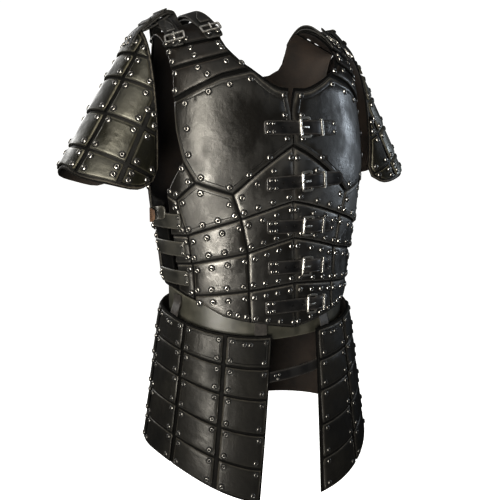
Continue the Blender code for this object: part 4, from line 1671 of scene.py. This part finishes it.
@dataclass
class Back:
    """Back shell, its three plates and their rivets; the back is hidden in the photograph."""

    edge: float = 84.0
    foot: float = 0.800
    plate_edge: float = 101.0
    lines: tuple = (-0.93, 0.35, 0.57, 0.79)
    rivet_in: float = 9.0 * MM
    upper_rivets: tuple = ((8, -0.10), (24, -0.16), (34, -0.42), (33, -0.75),
                           (68, -0.75), (66, -0.42), (64, -0.05), (59, 0.16))

    def mirrored(self, half: list) -> list:
        """Both halves of an outline that starts and ends at the middle of the back.

        Args:
            half: Outline from the spine up round to the spine below, in degrees and shares.

        Returns:
            The whole outline on the flat.
        """
        return TORSO.flats(half + [(360 - degrees, share) for degrees, share in reversed(half[1:-1])])

    def shell(self) -> None:
        """Shell of the back, open at both sides."""
        dip = [(180.0, -0.22), (173.0, -0.222), (166.0, -0.24), (155.0, -0.30)]
        collar = [(180 - degrees, share) for degrees, share in NECKLINE if share < -0.3]
        armhole = [(180 - degrees, share) for degrees, share in ARMHOLE[:-2]]
        arm = spline([*armhole, (110.0, 0.16), (112.0, 0.31)])
        opening = [(self.edge + 20, 0.395), (self.edge + 8, 0.420), (self.edge, 0.430), (self.edge, 0.82)]
        half = [*dip, *collar, *arm, *opening, (180.0, self.foot)]
        piece = FlatPiece("leather_back_shell", self.mirrored(half), SHELL_CUT)
        keep(piece.bend(TORSO, Side.LEFT, SHELL, SHELL_HEIGHT, RAW), "raw_leather", "back_shell")

    def plates(self) -> None:
        """Three broad plates with a row of rivets along each edge."""
        seats = []
        for index, name in enumerate(("upper_back_plate", "middle_back_plate", "lower_back_plate")):
            top, low = self.lines[index:index + 2]
            half = [(180.0, top), (self.plate_edge, top), (self.plate_edge, low), (180.0, low)]
            if index == 0:
                half = [(180.0, -0.18), (173.0, -0.182), (166.0, -0.20), (153.0, -0.27), (149.5, -0.33),
                        (148.5, -0.42), (150.0, top), (106.0, top), (107.5, -0.55), (109.0, -0.27),
                        (110.0, 0.02), (113.5, 0.13), (119.5, 0.262), *half[2:]]
            piece = FlatPiece(f"leather_{name}", self.mirrored(half), TORSO_CUT)
            keep(piece.bend(TORSO, Side.LEFT, PLATE), "black_leather", name)
            for sign, side in ((1, self.plate_edge), (-1, 360 - self.plate_edge)):
                lower, upper = (TORSO.flats(((side, share), (180, share))) for share in (low, top))
                spots = row_along(*lower, 5, sign * self.rivet_in, 10 * MM)
                if index:
                    spots += row_along(*upper, 5, -sign * self.rivet_in, 10 * MM)
                else:
                    spots += TORSO.flats([(180 - sign * away, share) for away, share in self.upper_rivets])
                seats += seats_on(piece, TORSO, Side.LEFT, spots)
        Rivet().set("rivets_back", seats)

    def build(self) -> None:
        """Build the back."""
        self.shell()
        self.plates()


@dataclass
class HalfSleeve:
    """Half sleeve: a lining with five columns of riveted plates, cut off at the armhole."""

    side: Side
    armhole: float = 0.222
    reach: float = 108.0
    rim: float = 6.0 * MM
    rows: tuple = (-0.3, 0.16, 0.345, 0.60, 0.86, 1.2)
    columns: tuple = (-108.0, -73.0, -29.0, 29.0, 73.0, 108.0)
    hem: tuple = ((0.0, 1.02), (35.0, 1.05), (68.0, 1.02), (94.0, 0.975), (108.0, 0.88))
    column_gap: float = 7.5 * MM
    row_gap: float = 3.4 * MM
    smallest: float = 150 * MM * MM
    rivet_in: float = 8.5 * MM
    armhole_steps: int = 36

    def outline(self) -> list:
        """Outline of the lining on the flat.

        Returns:
            Its corners, counted from the front of the armhole.
        """
        turn = [self.reach * (1 - 2 * i / self.armhole_steps) for i in range(self.armhole_steps + 1)]
        edge = [(degrees, ARM.cut(degrees, self.armhole)) for degrees in turn]
        hem = [(-degrees, share) for degrees, share in reversed(self.hem)] + list(self.hem[1:])
        return ARM.flats(edge + spline(hem))

    def cell(self, row: int, column: int, inside: list) -> list:
        """Outline of one plate: the cell of the grid that lies inside the lining's rim.

        Args:
            row: Row from the top.
            column: Column from the back.
            inside: Corners of the lining within its rim.

        Returns:
            Corners of the plate, or none where the cell is too small.
        """
        left, right = (ARM.flat(degrees, 0)[0] for degrees in self.columns[column:column + 2])
        high, low = (ARM.flat(0, share)[1] for share in self.rows[row:row + 2])
        left += self.column_gap / 2 if column else 0
        right -= self.column_gap / 2 if column < 4 else 0
        corners = clip(inside, strip(left, right, low + self.row_gap / 2, high - self.row_gap / 2))
        return corners if len(corners) > 2 and area(corners) >= self.smallest else []

    def build(self) -> None:
        """Build the sleeve."""
        word, outline = self.side.word, self.outline()
        cut = plain_cut(2.5 * MM, 0.6 * MM, 0.6 * MM, SLEEVE_CUT.step)
        lining = FlatPiece(f"lining_sleeve_{word}", outline, cut)
        things = [lining.bend(ARM, self.side, SLEEVE_SHELL, LINING_HEIGHT, RAW)]
        inside, seats = drawn_in(outline, self.rim), []
        for row, column in product(range(5), range(5)):
            corners = self.cell(row, column, inside)
            if corners:
                piece = FlatPiece(f"plate_{row}_{column}", corners, SLEEVE_CUT)
                things.append(piece.bend(ARM, self.side, SLEEVE_LEATHERS[min(column, 4 - column)]))
                seats += seats_on(piece, ARM, self.side, corner_spots(corners, self.rivet_in))
        keep(join(f"leather_sleeve_{word}", things), "black_leather", f"sleeve_{word}")
        Rivet(4.9 * MM).set(f"rivets_sleeve_{word}", seats)


@dataclass
class Tasset:
    """Skirt of riveted plates on a lining, hung from the belt by three tabs.

    Each column's line is given by its degrees at the upper edge and at the hem.
    """

    side: Side
    columns: tuple
    rows: tuple = (0.0, 0.195, 0.38, 0.59, 0.795, 1.0)
    rim: float = 3.0 * MM
    column_gap: float = 6.5 * MM
    row_gap: float = 2.4 * MM
    groove_at: float = 6.2 * MM
    hangers: tuple = (19.0, 86.0, 151.0)
    hanger_width: float = 22.0 * MM
    hanger_rivets: Pair = (5.4 * MM, 13.0 * MM)
    rivet_in: float = 9.0 * MM

    def lining(self) -> Thing:
        """Lining behind the plates.

        Returns:
            The lining.
        """
        top, hem = zip(*self.columns)
        spots = [(degrees, 0) for degrees in top] + [(degrees, 1) for degrees in reversed(hem)]
        cut = plain_cut(2.5 * MM, 0.6 * MM, 0.7 * MM)
        piece = FlatPiece(f"lining_tasset_{self.side.word}", SKIRT.flats(spots), cut)
        return piece.bend(SKIRT, self.side, SHELL, LINING_HEIGHT, RAW)

    def corners(self, row: int, column: int) -> list:
        """Corners of one plate on the flat.

        Args:
            row: Row from the top.
            column: Column from the front.

        Returns:
            Its four corners.
        """
        high, low = self.rows[row:row + 2]
        spots = []
        ends = ((high, column, 1), (high, column + 1, -1), (low, column + 1, -1), (low, column, 1))
        for share, index, sign in ends:
            top, hem = self.columns[index]
            gap = self.rim if index in (0, len(self.columns) - 1) else self.column_gap / 2
            edge = self.rim if share in (0.0, 1.0) else self.row_gap / 2
            x, y = SKIRT.flat(top + (hem - top) * share, share)
            spots.append((x + sign * gap, y - edge if share == high else y + edge))
        return spots

    def hanger(self, degrees: float) -> Thing:
        """Tab from the belt's face down behind the plates.

        Args:
            degrees: Where it hangs.

        Returns:
            The tab.
        """
        # It leaves the belt's face, drops below the belt and runs down behind the plates.
        x, skirt_x = degrees * WAIST.per_degree, SKIRT.flat(degrees, 0)[0]
        upper, lower = WAIST.bent(np.array([(x, -0.004, 2.6 * MM), (x, -0.024, 2.8 * MM)]), Side.LEFT)
        behind = SKIRT.bent(np.array([(skirt_x, 0.004, -7.6 * MM), (skirt_x, -0.012, -7.8 * MM)]), Side.LEFT)
        over, under = WAIST.bent(np.array([(x, 0, 1.0), (x, 0, 0.0)]), Side.LEFT)
        across = np.cross(over - under, (0, 0, 1.0))
        path = [upper, upper * 0.35 + lower * 0.65, *behind]
        form = Ribbon([tuple(spot) for spot in path], tuple(across / np.linalg.norm(across)))
        half = self.hanger_width / 2
        piece = FlatPiece("tab", strip(0, form.length, -half, half),
                          plain_cut(2.2 * MM, 0.5 * MM, 0.6 * MM, (3 * MM, 8 * MM)))
        return piece.bend(form, self.side, STRAP, 1.1 * MM)

    def build(self) -> None:
        """Build the tasset."""
        word, things, seats = self.side.word, [self.lining()], []
        for row, column in product(range(5), range(len(self.columns) - 1)):
            corners = self.corners(row, column)
            groove_at = 0.0 if row else self.groove_at
            cut = plate_cut(thickness=2.6 * MM, tilt=SMALL_TILT, groove_at=groove_at)
            piece = FlatPiece(f"plate_{row}_{column}", corners, cut)
            things.append(piece.bend(SKIRT, self.side, SKIRT_LEATHER))
            seats += seats_on(piece, SKIRT, self.side, corner_spots(corners, self.rivet_in))
            if row == 0 and column % 2 == 0:
                middle, (apart, down) = np.mean(corners, axis=0)[0], self.hanger_rivets
                spots = [(middle + shift, corners[0][1] - down) for shift in (-apart, apart)]
                seats += seats_on(piece, SKIRT, self.side, spots)
        things += [self.hanger(degrees) for degrees in self.hangers]
        keep(join(f"leather_tasset_{word}", things), "black_leather", f"tasset_{word}")
        Rivet(4.6 * MM, finish=SKIRT_STEEL).set(f"rivets_tasset_{word}", seats)


@dataclass
class Belt:
    """Closed belt under the shells' foot, its ends lapped at the back."""

    width: float = 48.0 * MM
    thickness: float = 3.0 * MM
    lap: float = 6.0
    ramp: float = 9.0 * MM
    rivet_rows: Pair = (-12 * MM, -36 * MM)

    def over_lap(self, flat: np.ndarray) -> np.ndarray:
        """Height by which the belt's end rides over its start."""
        return (self.thickness + 0.2 * MM) * eased(flat[:, 0] - 179 * WAIST.per_degree + self.ramp, self.ramp)

    def build(self) -> None:
        """Build the belt and the rivets of its lap."""
        start, end = -180 * WAIST.per_degree, (180 + self.lap) * WAIST.per_degree
        cut = plain_cut(self.thickness, 0.9 * MM, 0.9 * MM)
        piece = FlatPiece("leather_belt", strip(start, end, -self.width, 0), cut)
        keep(piece.bend(WAIST, Side.LEFT, BELT, 0.0, None, self.over_lap), "strap_leather", "belt")
        x, height = (180 + self.lap / 2) * WAIST.per_degree, self.thickness + 0.1 * MM
        Rivet().set("rivets_belt", [WAIST.seat((x, y), height, Side.LEFT) for y in self.rivet_rows])


@dataclass(frozen=True)
class StrapPlace:
    """Where one front strap lies, in degrees from the closing line and shares of the drop.

    The heights by which its free end lifts, climbs over the buckle and comes down are in metres.
    """

    start: float
    first: float
    end: float
    last: float
    buckle: float
    keeper: float
    tail: float
    lifted: float = 0.0
    climb: float = 4.6 * MM
    descent: float = 1.9 * MM

    def at(self, degrees: float) -> float:
        """Share of the strap's middle line at an angle."""
        return self.first + (self.last - self.first) * (degrees - self.start) / (self.end - self.start)

    def spot(self, degrees: float, across: float = 0.0) -> Pair:
        """Flat place on the strap."""
        x, y = TORSO.flat(degrees, self.at(degrees))
        return x, y + across

    def rise(self, flat: np.ndarray) -> np.ndarray:
        """Height of the billet: under the buckle's front bar, over its rear bar and down again.

        Args:
            flat: Places on the flat.

        Returns:
            Extra height of each.
        """
        middle, out, tail = (d * TORSO.per_degree for d in (self.buckle, self.keeper, self.tail))
        free = np.clip((flat[:, 0] - out) / max(tail - out, MM), 0, 1)
        up, down = eased(flat[:, 0] - middle + 9 * MM, 16 * MM), eased(flat[:, 0] - middle - 14 * MM, 10 * MM)
        return self.climb * up - self.descent * down + self.lifted * free ** 2


@dataclass
class FrontStraps:
    """Five buckled straps across the front opening.

    The chape is the riveted end with the buckle, the billet the punched end. Holes and rivets lie
    at degrees from the buckle, from the tail or from the end, or in metres from the start.
    """

    places: tuple = (
        StrapPlace(-14.4, 0.124, 22.2, 0.115, 4.0, 11.9, 17.4),
        StrapPlace(-13.6, 0.358, 22.8, 0.334, 4.3, 12.9, 23.6, 5.0 * MM),
        StrapPlace(-14.3, 0.539, 22.5, 0.543, 4.9, 13.2, 18.6),
        StrapPlace(-14.6, 0.717, 22.0, 0.727, 4.8, 14.6, 19.4),
        StrapPlace(-16.9, 0.894, 21.2, 0.901, 8.2, 17.0, 20.2),
    )
    width: float = 25.0 * MM
    slimmer: float = 0.94
    corner: float = 4.4 * MM
    height: float = 3.6 * MM
    chape_under: float = 0.6 * MM
    frame_gap: float = 0.2 * MM
    keeper_gap: float = 2.9 * MM
    leather: float = 2.4 * MM
    root: float = 1.5
    tip: float = 1.9
    holes: Pair = (9.6, 5.4)
    last_hole: float = 3.0
    start_rivets: Pair = (5.4 * MM, 13.2 * MM)
    end_rivets: float = 1.9

    def leathers(self, index: int, place: StrapPlace) -> None:
        """Riveted end with the buckle, and the punched end that passes through it.

        Args:
            index: Number from the top.
            place: Where the strap lies.
        """
        half, slim = self.width / 2, self.width / 2 * self.slimmer
        cut = strap_cut(self.leather, (3 * MM, 9 * MM))
        root, neck, tip = place.buckle + self.root, place.tail - self.tip, place.tail
        base = [place.spot(root, -half), place.spot(place.end, -half), place.spot(place.end, half),
                place.spot(root, half)]
        chape = FlatPiece(f"chape_{index}", rounded(base, self.corner, 2), cut)
        lower = chape.bend(TORSO, Side.LEFT, STRAP, self.height - self.chape_under)
        shape = [place.spot(neck, slim), place.spot(place.start, slim), place.spot(place.start, -slim),
                 place.spot(neck, -slim), place.spot(tip, -slim * 0.5), place.spot(tip, slim * 0.5)]
        billet = FlatPiece(f"billet_{index}", rounded(shape, self.corner, 2), cut)
        holes = [*(place.buckle - degrees for degrees in self.holes), place.tail - self.last_hole]
        billet.punch([place.spot(degrees) for degrees in holes])
        upper = billet.bend(TORSO, Side.LEFT, STRAP, self.height, None, place.rise)
        keep(join(f"leather_front_strap_{index}", [upper, lower]), "strap_leather", f"front_strap_{index}")
        x, y = place.spot(place.start)
        spots = [(x + along, y + up * half * 0.52) for along in self.start_rivets for up in (-1, 1)]
        seats = seats_on(billet, TORSO, Side.LEFT, spots)
        spots = [place.spot(place.end - self.end_rivets, up * half * 0.54) for up in (-1, 1)]
        seats += seats_on(chape, TORSO, Side.LEFT, spots)
        Rivet(3.5 * MM, 1.9 * MM).set(f"rivets_front_strap_{index}", seats)

    def buckle(self, index: int, place: StrapPlace) -> None:
        """Buckle, with its prong resting on the front bar, and the keeper.

        Args:
            index: Number from the top.
            place: Where the strap lies.
        """
        (x, y), (end_x, end_y) = place.spot(place.start), place.spot(place.end)
        slope = math.degrees(math.atan2(end_y - y, end_x - x))
        marks = ((place.buckle, self.frame_gap), (place.keeper, self.keeper_gap))
        seat, keeper = (TORSO.seat(place.spot(degrees), self.height + gap, Side.LEFT, slope)
                        for degrees, gap in marks)
        buckle = Buckle()
        parts = [buckle.placed(thing, seat) for thing in (buckle.frame(), buckle.roller(), buckle.prong())]
        parts.append(buckle.placed(buckle.keeper(self.width + 3 * MM), keeper))
        keep(join(f"steel_front_buckle_{index}", parts), "antique_steel", f"front_buckle_{index}")

    def build(self) -> None:
        """Build the five straps."""
        for index, place in enumerate(self.places, 1):
            self.leathers(index, place)
            self.buckle(index, place)


@dataclass
class SideStraps:
    """Three straps over each side opening, and one long end that curls away from the body."""

    side: Side
    shares: tuple = (0.512, 0.631, 0.760)
    ends: Pair = (67.5, 98.5)
    width: float = 25.0 * MM
    rivet_in: float = 4.8 * MM
    curl_back: float = 16.0
    curl_up: float = 14.0 * MM
    curl_radius: float = 10.5 * MM
    curl_turns: range = range(25, 235, 25)

    def curl(self) -> Thing:
        """Free end of the upper strap, rolled outwards.

        Returns:
            The curled end.
        """
        x = (self.ends[1] - self.curl_back) * TORSO.per_degree
        y = self.curl_up - self.shares[0] * TORSO.drop
        start, over = TORSO.bent(np.array([(x, y, 5.2 * MM), (x, y, 6.2 * MM)]), Side.LEFT)
        out = (over - start) / np.linalg.norm(over - start)
        ahead = np.array((0.0, 1.0, 0.0)) - out * out[1]
        ahead /= np.linalg.norm(ahead)
        path = [tuple(start - ahead * 9 * MM), tuple(start)]
        for angle in map(math.radians, self.curl_turns):
            roll = ahead * math.sin(angle) + out * (1 - math.cos(angle))
            path.append(tuple(start + roll * self.curl_radius))
        form = Ribbon(path, (0.0, 0.0, 1.0))
        half = self.width * 0.45
        piece = FlatPiece("curl", rounded(strip(0, form.length, -half, half), 11 * MM, 5),
                          plain_cut(2.2 * MM, 0.6 * MM, 0.6 * MM, (2.5 * MM, 8 * MM)))
        return piece.bend(form, self.side, SIDE_STRAP, 1.1 * MM, TURNED)

    def build(self) -> None:
        """Build the straps of this side."""
        word, half, seats = self.side.word, self.width / 2, []
        start, end = (degrees * TORSO.per_degree for degrees in self.ends)
        cut = strap_cut(2.6 * MM, (6 * MM, 9 * MM))
        for index, share in enumerate(self.shares):
            y, name = -share * TORSO.drop, f"side_strap_{index + 1}_{word}"
            corners = strip(start, end, y - half, y + half)
            piece = FlatPiece("leather_" + name, rounded(corners, STRAP_CORNER, 2), cut)
            thing = piece.bend(TORSO, self.side, SIDE_STRAP, 3.6 * MM)
            if index == 0 and self.side is Side.RIGHT:
                thing = join(thing.name, [thing, self.curl()])
            keep(thing, "strap_leather", name)
            seats += [TORSO.seat((x, y + up * half * 0.52), 3.5 * MM, self.side)
                      for x in (start + self.rivet_in, end - self.rivet_in) for up in (-1, 1)]
        Rivet(2.9 * MM, 1.6 * MM).set(f"rivets_side_straps_{word}", seats)


@dataclass(frozen=True)
class Bow:
    """How a shoulder strap bows up between its two ends."""

    low: float
    high: float
    bulge: float

    def arc(self, run: np.ndarray) -> np.ndarray:
        """Sine over the run from one end to the other."""
        return np.sin(np.pi * np.clip((run - self.low) / (self.high - self.low), 0, 1))

    def over(self, flat: np.ndarray) -> np.ndarray:
        """Height of the strap."""
        return self.bulge * self.arc(flat[:, 1]) ** 2

    def sag(self, flat: np.ndarray) -> np.ndarray:
        """Height of the under layer, which hangs below the strap."""
        return self.over(flat) * 0.52

    def tip(self, flat: np.ndarray) -> np.ndarray:
        """Height of the free tip, which stands off the strap."""
        return self.over(flat) + 5.5 * MM * np.clip((flat[:, 1] - self.low) / (30 * MM), 0, 1)

    def hang(self, flat: np.ndarray) -> np.ndarray:
        """Height of a loose layer whose length runs along x."""
        return self.bulge * self.arc(flat[:, 0])


@dataclass(frozen=True)
class Span:
    """Where a strap crosses the shoulder, its width and the height of its bow."""

    degrees: float
    share: float
    width: float
    bulge: float


@dataclass
class ShoulderStraps:
    """Straps on top of one shoulder: front to back by the neck, and out to the sleeve.

    Each layer of the sleeve's strap has its ends as shares of the length, its height and its droop
    in millimetres.
    """

    side: Side
    neck: Span = Span(36.0, -0.640, 30.0 * MM, 10.0 * MM)
    arm: Span = Span(61.0, -0.640, 38.0 * MM, 15.0 * MM)
    link_width: float = 35.0 * MM
    buckle_in: float = -7.0 * MM
    height: float = 3.9 * MM
    top: float = 6.4 * MM
    step: Pair = (6 * MM, 5 * MM)
    pillow: float = 0.1 * MM
    loop: tuple = ((0.141, 0.0302), (0.148, 0.0288), (0.155, 0.042), (0.162, 0.0485), (0.177, 0.049),
                   (0.193, 0.0405), (0.212, 0.0255), (0.2315, 0.0085), (0.2455, -0.0165))
    layers: tuple = ((0.0, 1.0, -4.3, 0.0), (0.20, 0.74, -7.4, 0.5), (0.24, 0.70, -10.6, 4.0))

    def layer(self, name: str, corners: list, height: float, bow: Height | None = None,
              thickness: float = 2.6 * MM, corner: float = STRAP_CORNER) -> Thing:
        """Cut one layer of a strap over the shoulder.

        Args:
            name: Name of the layer.
            corners: Its corners on the flat.
            height: Its height over the torso.
            bow: Extra height by flat place.
            thickness: Thickness of its leather.
            corner: Radius of its corners.

        Returns:
            The layer.
        """
        piece = FlatPiece(name, rounded(corners, corner, 2), strap_cut(thickness, self.step, self.pillow))
        return piece.bend(TORSO, self.side, SHOULDER_STRAP, height, None, bow)

    def over_shoulder(self, name: str, span: Span) -> tuple:
        """Strap from front to back over the shoulder, its riveted end with the buckle and its free tip.

        Args:
            name: Name of the piece.
            span: Where it lies.

        Returns:
            The strap and the list of its rivets' frames.
        """
        (x, low), high = TORSO.flat(span.degrees, span.share), TORSO.flat(0, -2 - span.share)[1]
        half = span.width / 2
        foot, slight, slim, inner = low - 21 * MM, 14.5 * MM, half * 0.62, half * 0.9
        bow = Bow(low, high, span.bulge)
        tip = strip(x - slim, x + slim, low + 8 * MM, low + 19 * MM)
        tip.insert(3, (x, low + 29 * MM))
        under = strip(x - inner, x + inner, low + 12 * MM, high - 12 * MM)
        layers = [
            self.layer(name, strip(x - half, x + half, low, high), self.height, bow.over),
            self.layer("chape", strip(x - slight, x + slight, foot, low - MM), self.height),
            self.layer("tip", tip, 6.8 * MM, bow.tip, 2.2 * MM, 3.0 * MM),
            self.layer("under", under, 2.2 * MM, bow.sag),
        ]
        seats = [TORSO.seat((x + across * 7.5 * MM, end), self.top, self.side)
                 for across in (-1, 1) for end in (foot + 5.5 * MM, high - 5 * MM)]
        return join(name, layers), seats

    def buckle_on(self, span: Span) -> Thing:
        """Buckle at the front end of a strap.

        Args:
            span: Where the strap lies.

        Returns:
            The buckle.
        """
        x, y = TORSO.flat(span.degrees, span.share)
        seat = TORSO.seat((x, y + self.buckle_in), self.top, self.side, 90.0)
        buckle = Buckle(17 * MM, min(span.width + 4 * MM, 34 * MM), 3.0 * MM)
        return join("buckle", [buckle.placed(thing, seat) for thing in (buckle.frame(), buckle.prong())])

    def sleeve_strap(self) -> None:
        """Doubled strap that carries the sleeve from the shoulder's top."""
        word, half = self.side.word, self.link_width / 2
        form = Ribbon([(x, TORSO.set_back, z) for x, z in self.loop])
        cut = strap_cut(2.8 * MM, self.step, self.pillow)
        things = []
        for index, (start, end, height, droop) in enumerate(self.layers):
            first, last = start * form.length, end * form.length
            corners = rounded(strip(first, last, -half, half), STRAP_CORNER, 2)
            piece = FlatPiece(f"layer_{index}", corners, cut)
            hang = Bow(first, last, -droop * MM).hang
            things.append(piece.bend(form, self.side, SHOULDER_STRAP, height * MM, None, hang))
        things += [self.wrap(form, share * form.length) for share in (0.36, 0.60)]
        keep(join(f"leather_sleeve_strap_{word}", things), "strap_leather", f"sleeve_strap_{word}")
        seats = [form.seat((form.length - back, up * half * 0.5), -1.6 * MM, self.side)
                 for back in (6 * MM, 16 * MM) for up in (-1, 1)]
        Rivet(3.6 * MM, 1.9 * MM).set(f"rivets_sleeve_strap_{word}", seats)

    def wrap(self, form: Ribbon, at: float) -> Thing:
        """Leather loop wrapped over the strap.

        Args:
            form: The strap's ribbon.
            at: Where it sits along the strap.

        Returns:
            The loop.
        """
        half = self.link_width / 2 + 2.2 * MM
        cut = plain_cut(2.0 * MM, 0.8 * MM, 0.6 * MM, (4 * MM, 6 * MM), 0.2 * MM)
        piece = FlatPiece("wrap", rounded(strip(at - 6 * MM, at + 6 * MM, -half, half), 3.0 * MM, 1), cut)
        return piece.bend(form, self.side, SHOULDER_STRAP, -1.9 * MM)

    def build(self) -> None:
        """Build the straps of this shoulder."""
        word = self.side.word
        neck, seats = self.over_shoulder(f"leather_neck_strap_{word}", self.neck)
        keep(neck, "strap_leather", f"neck_strap_{word}")
        arm, more = self.over_shoulder(f"leather_arm_strap_{word}", self.arm)
        keep(arm, "strap_leather")
        Rivet(3.6 * MM, 1.9 * MM).set(f"rivets_shoulder_{word}", seats + more)
        buckles = [self.buckle_on(span) for span in (self.neck, self.arm)]
        keep(join(f"steel_shoulder_buckles_{word}", buckles), "antique_steel")
        self.sleeve_strap()


@dataclass
class TieStrap:
    """Narrow strap behind the tassets that bridges the front gap."""

    start: Pair = (-24.0, 0.262)
    end: Pair = (17.0, 0.215)
    width: float = 18.0 * MM
    height: float = -7.0 * MM
    rivets: tuple = ((-11.6, 0.255, 3.5 * MM), (-9.4, 0.250, 3.5 * MM), (-10.3, 0.250, -4.0 * MM))

    def build(self) -> None:
        """Build the strap and its three rivets."""
        (x0, y0), (x1, y1) = SKIRT.flats((self.start, self.end))
        half = self.width / 2
        corners = [(x0, y0 - half), (x1, y1 - half), (x1, y1 + half), (x0, y0 + half)]
        cut = plain_cut(2.4 * MM, 0.8 * MM, 0.8 * MM, (5 * MM, 8 * MM))
        piece = FlatPiece("leather_tie_strap", rounded(corners, 3.0 * MM, 1), cut)
        keep(piece.bend(SKIRT, Side.LEFT, STRAP, self.height), "strap_leather", "tie_strap")
        seats = []
        for degrees, share, up in self.rivets:
            x, y = SKIRT.flat(degrees, share)
            seats.append(SKIRT.seat((x, y + up), self.height, Side.LEFT))
        Rivet(2.8 * MM, 1.5 * MM).set("rivets_tie_strap", seats)


# ---- Studio


def aimed(data: bpy.types.ID, place: tuple, ahead: Vector) -> Thing:
    """Add a light or a camera.

    Args:
        data: Its data.
        place: Where it stands.
        ahead: Direction in which it looks.

    Returns:
        The object.
    """
    thing = bpy.data.objects.new(data.name, data)
    bpy.context.scene.collection.objects.link(thing)
    thing.location = place
    thing.rotation_euler = ahead.to_track_quat("-Z", "Y").to_euler()
    return thing


@dataclass(frozen=True)
class Lamp:
    """Area light with its width and height, its power in watts and its beam in degrees."""

    name: str
    place: tuple
    size: Pair
    power: float
    colour: tuple = (1.0, 1.0, 1.0)
    aim: tuple = (0.0, 0.0, -0.3)
    spread: float = 180.0

    def hang(self) -> None:
        """Add the light to the scene."""
        data = bpy.data.lights.new(self.name, "AREA")
        data.shape, data.size, data.size_y, data.energy = "RECTANGLE", *self.size, self.power
        data.color, data.spread = self.colour, math.radians(self.spread)
        aimed(data, self.place, Vector(self.aim) - Vector(self.place))


@dataclass
class Studio:
    """Pale floor under pale surroundings, soft lights and the camera at the photograph's angle."""

    eye: tuple = (-0.692, -1.041, -0.190)
    azimuth: float = -33.0
    pitch: float = 8.0
    focal_share: float = 680 / 500
    sensor: float = 36.0
    floor_at: float = -1.42
    floor_size: float = 60.0
    surroundings: tuple = (0.86, 0.86, 0.85)
    fill: float = 0.16
    ambient: float = 0.02
    contrast: float = 0.82
    backdrop: float = 1.25
    lamps: tuple = (
        Lamp("key", (-1.75, -1.45, 0.28), (1.3, 2.2), 23.0, (1.0, 0.97, 0.90), (-0.05, -0.1, -0.14), 75.0),
        Lamp("low", (-1.45, -1.50, -0.50), (0.9, 0.6), 6.5, (1.0, 0.97, 0.91), (-0.22, -0.1, -0.33), 50.0),
        Lamp("top", (-0.30, -0.20, 1.7), (1.2, 1.0), 4.5),
        Lamp("cool", (1.75, -0.47, 0.0), (0.4, 0.8), 1.25, (0.80, 0.89, 1.0), (0.15, -0.05, -0.28), 50.0),
        Lamp("back", (-0.5, 1.9, 0.5), (1.6, 1.4), 40.0),
    )

    def floor(self) -> None:
        """Pale floor, which neither lights the armour nor shows in it."""
        clear_selection()
        bpy.ops.mesh.primitive_plane_add(size=self.floor_size, location=(0, 0, self.floor_at), calc_uvs=False)
        thing = bpy.context.object
        thing.name = "studio_floor"
        with editing():
            bpy.ops.mesh.subdivide(number_cuts=6)
        bpy.ops.object.transform_apply(location=True, rotation=True, scale=True)
        thing.data.materials.append(PAPER.material())
        thing.visible_glossy = thing.visible_diffuse = False

    def glow(self, node: bpy.types.Node, strength: float) -> bpy.types.Node:
        """Fill a background node with the surroundings' colour.

        Args:
            node: The node.
            strength: Its strength.

        Returns:
            The same node.
        """
        node.inputs["Color"].default_value = (*self.surroundings, 1)
        node.inputs["Strength"].default_value = strength
        return node

    def world(self) -> None:
        """Pale surroundings, dim in glossy surfaces, and the picture's hard contrast."""
        scene = bpy.context.scene
        scene.world = bpy.data.worlds.new("studio")
        scene.world.use_nodes = True
        nodes, link = scene.world.node_tree.nodes, scene.world.node_tree.links.new
        path, shown = nodes.new("ShaderNodeLightPath"), self.glow(nodes["Background"], self.fill)
        for ray, strength in (("Is Glossy Ray", self.ambient), ("Is Camera Ray", self.backdrop)):
            other = self.glow(nodes.new("ShaderNodeBackground"), strength)
            mix = nodes.new("ShaderNodeMixShader")
            for index, output in enumerate((path.outputs[ray], shown.outputs[0], other.outputs[0])):
                link(output, mix.inputs[index])
            shown = mix
        link(shown.outputs[0], nodes["World Output"].inputs["Surface"])
        scene.view_settings.view_transform = "Standard"
        scene.view_settings.gamma = self.contrast

    def camera(self) -> None:
        """Camera at the photograph's angle, for a square picture."""
        data = bpy.data.cameras.new("camera")
        turn, dip = math.radians(self.azimuth), math.radians(self.pitch)
        ahead = Vector((-math.sin(turn) * math.cos(dip), math.cos(turn) * math.cos(dip), -math.sin(dip)))
        data.sensor_width, data.lens = self.sensor, self.focal_share * self.sensor
        bpy.context.scene.camera = aimed(data, self.eye, ahead)

    def build(self) -> None:
        """Build the studio."""
        self.floor()
        for lamp in self.lamps:
            lamp.hang()
        self.world()
        self.camera()


# Degrees of each line between two columns, at the upper edge and at the hem.
TASSET_COLUMNS = {
    Side.RIGHT: ((13.0, 22.5), (41.0, 46.5), (71.0, 74.0), (101.0, 103.0), (134.0, 134.0), (168.0, 167.0)),
    Side.LEFT: ((11.0, 6.0), (37.0, 33.0), (67.0, 65.0), (98.0, 97.0), (132.0, 132.0), (168.0, 167.0)),
}


def main() -> None:
    """Build the armour's sub-assemblies in order, then the studio."""
    logging.basicConfig(level=logging.INFO, format="%(message)s")
    Back().build()
    Belt().build()
    for side in Side:
        FrontHalf(side).build()
        HalfSleeve(side).build()
        Tasset(side, TASSET_COLUMNS[side]).build()
        SideStraps(side).build()
        ShoulderStraps(side).build()
    FrontStraps().build()
    TieStrap().build()
    Studio().build()


if __name__ == "__main__":
    main()
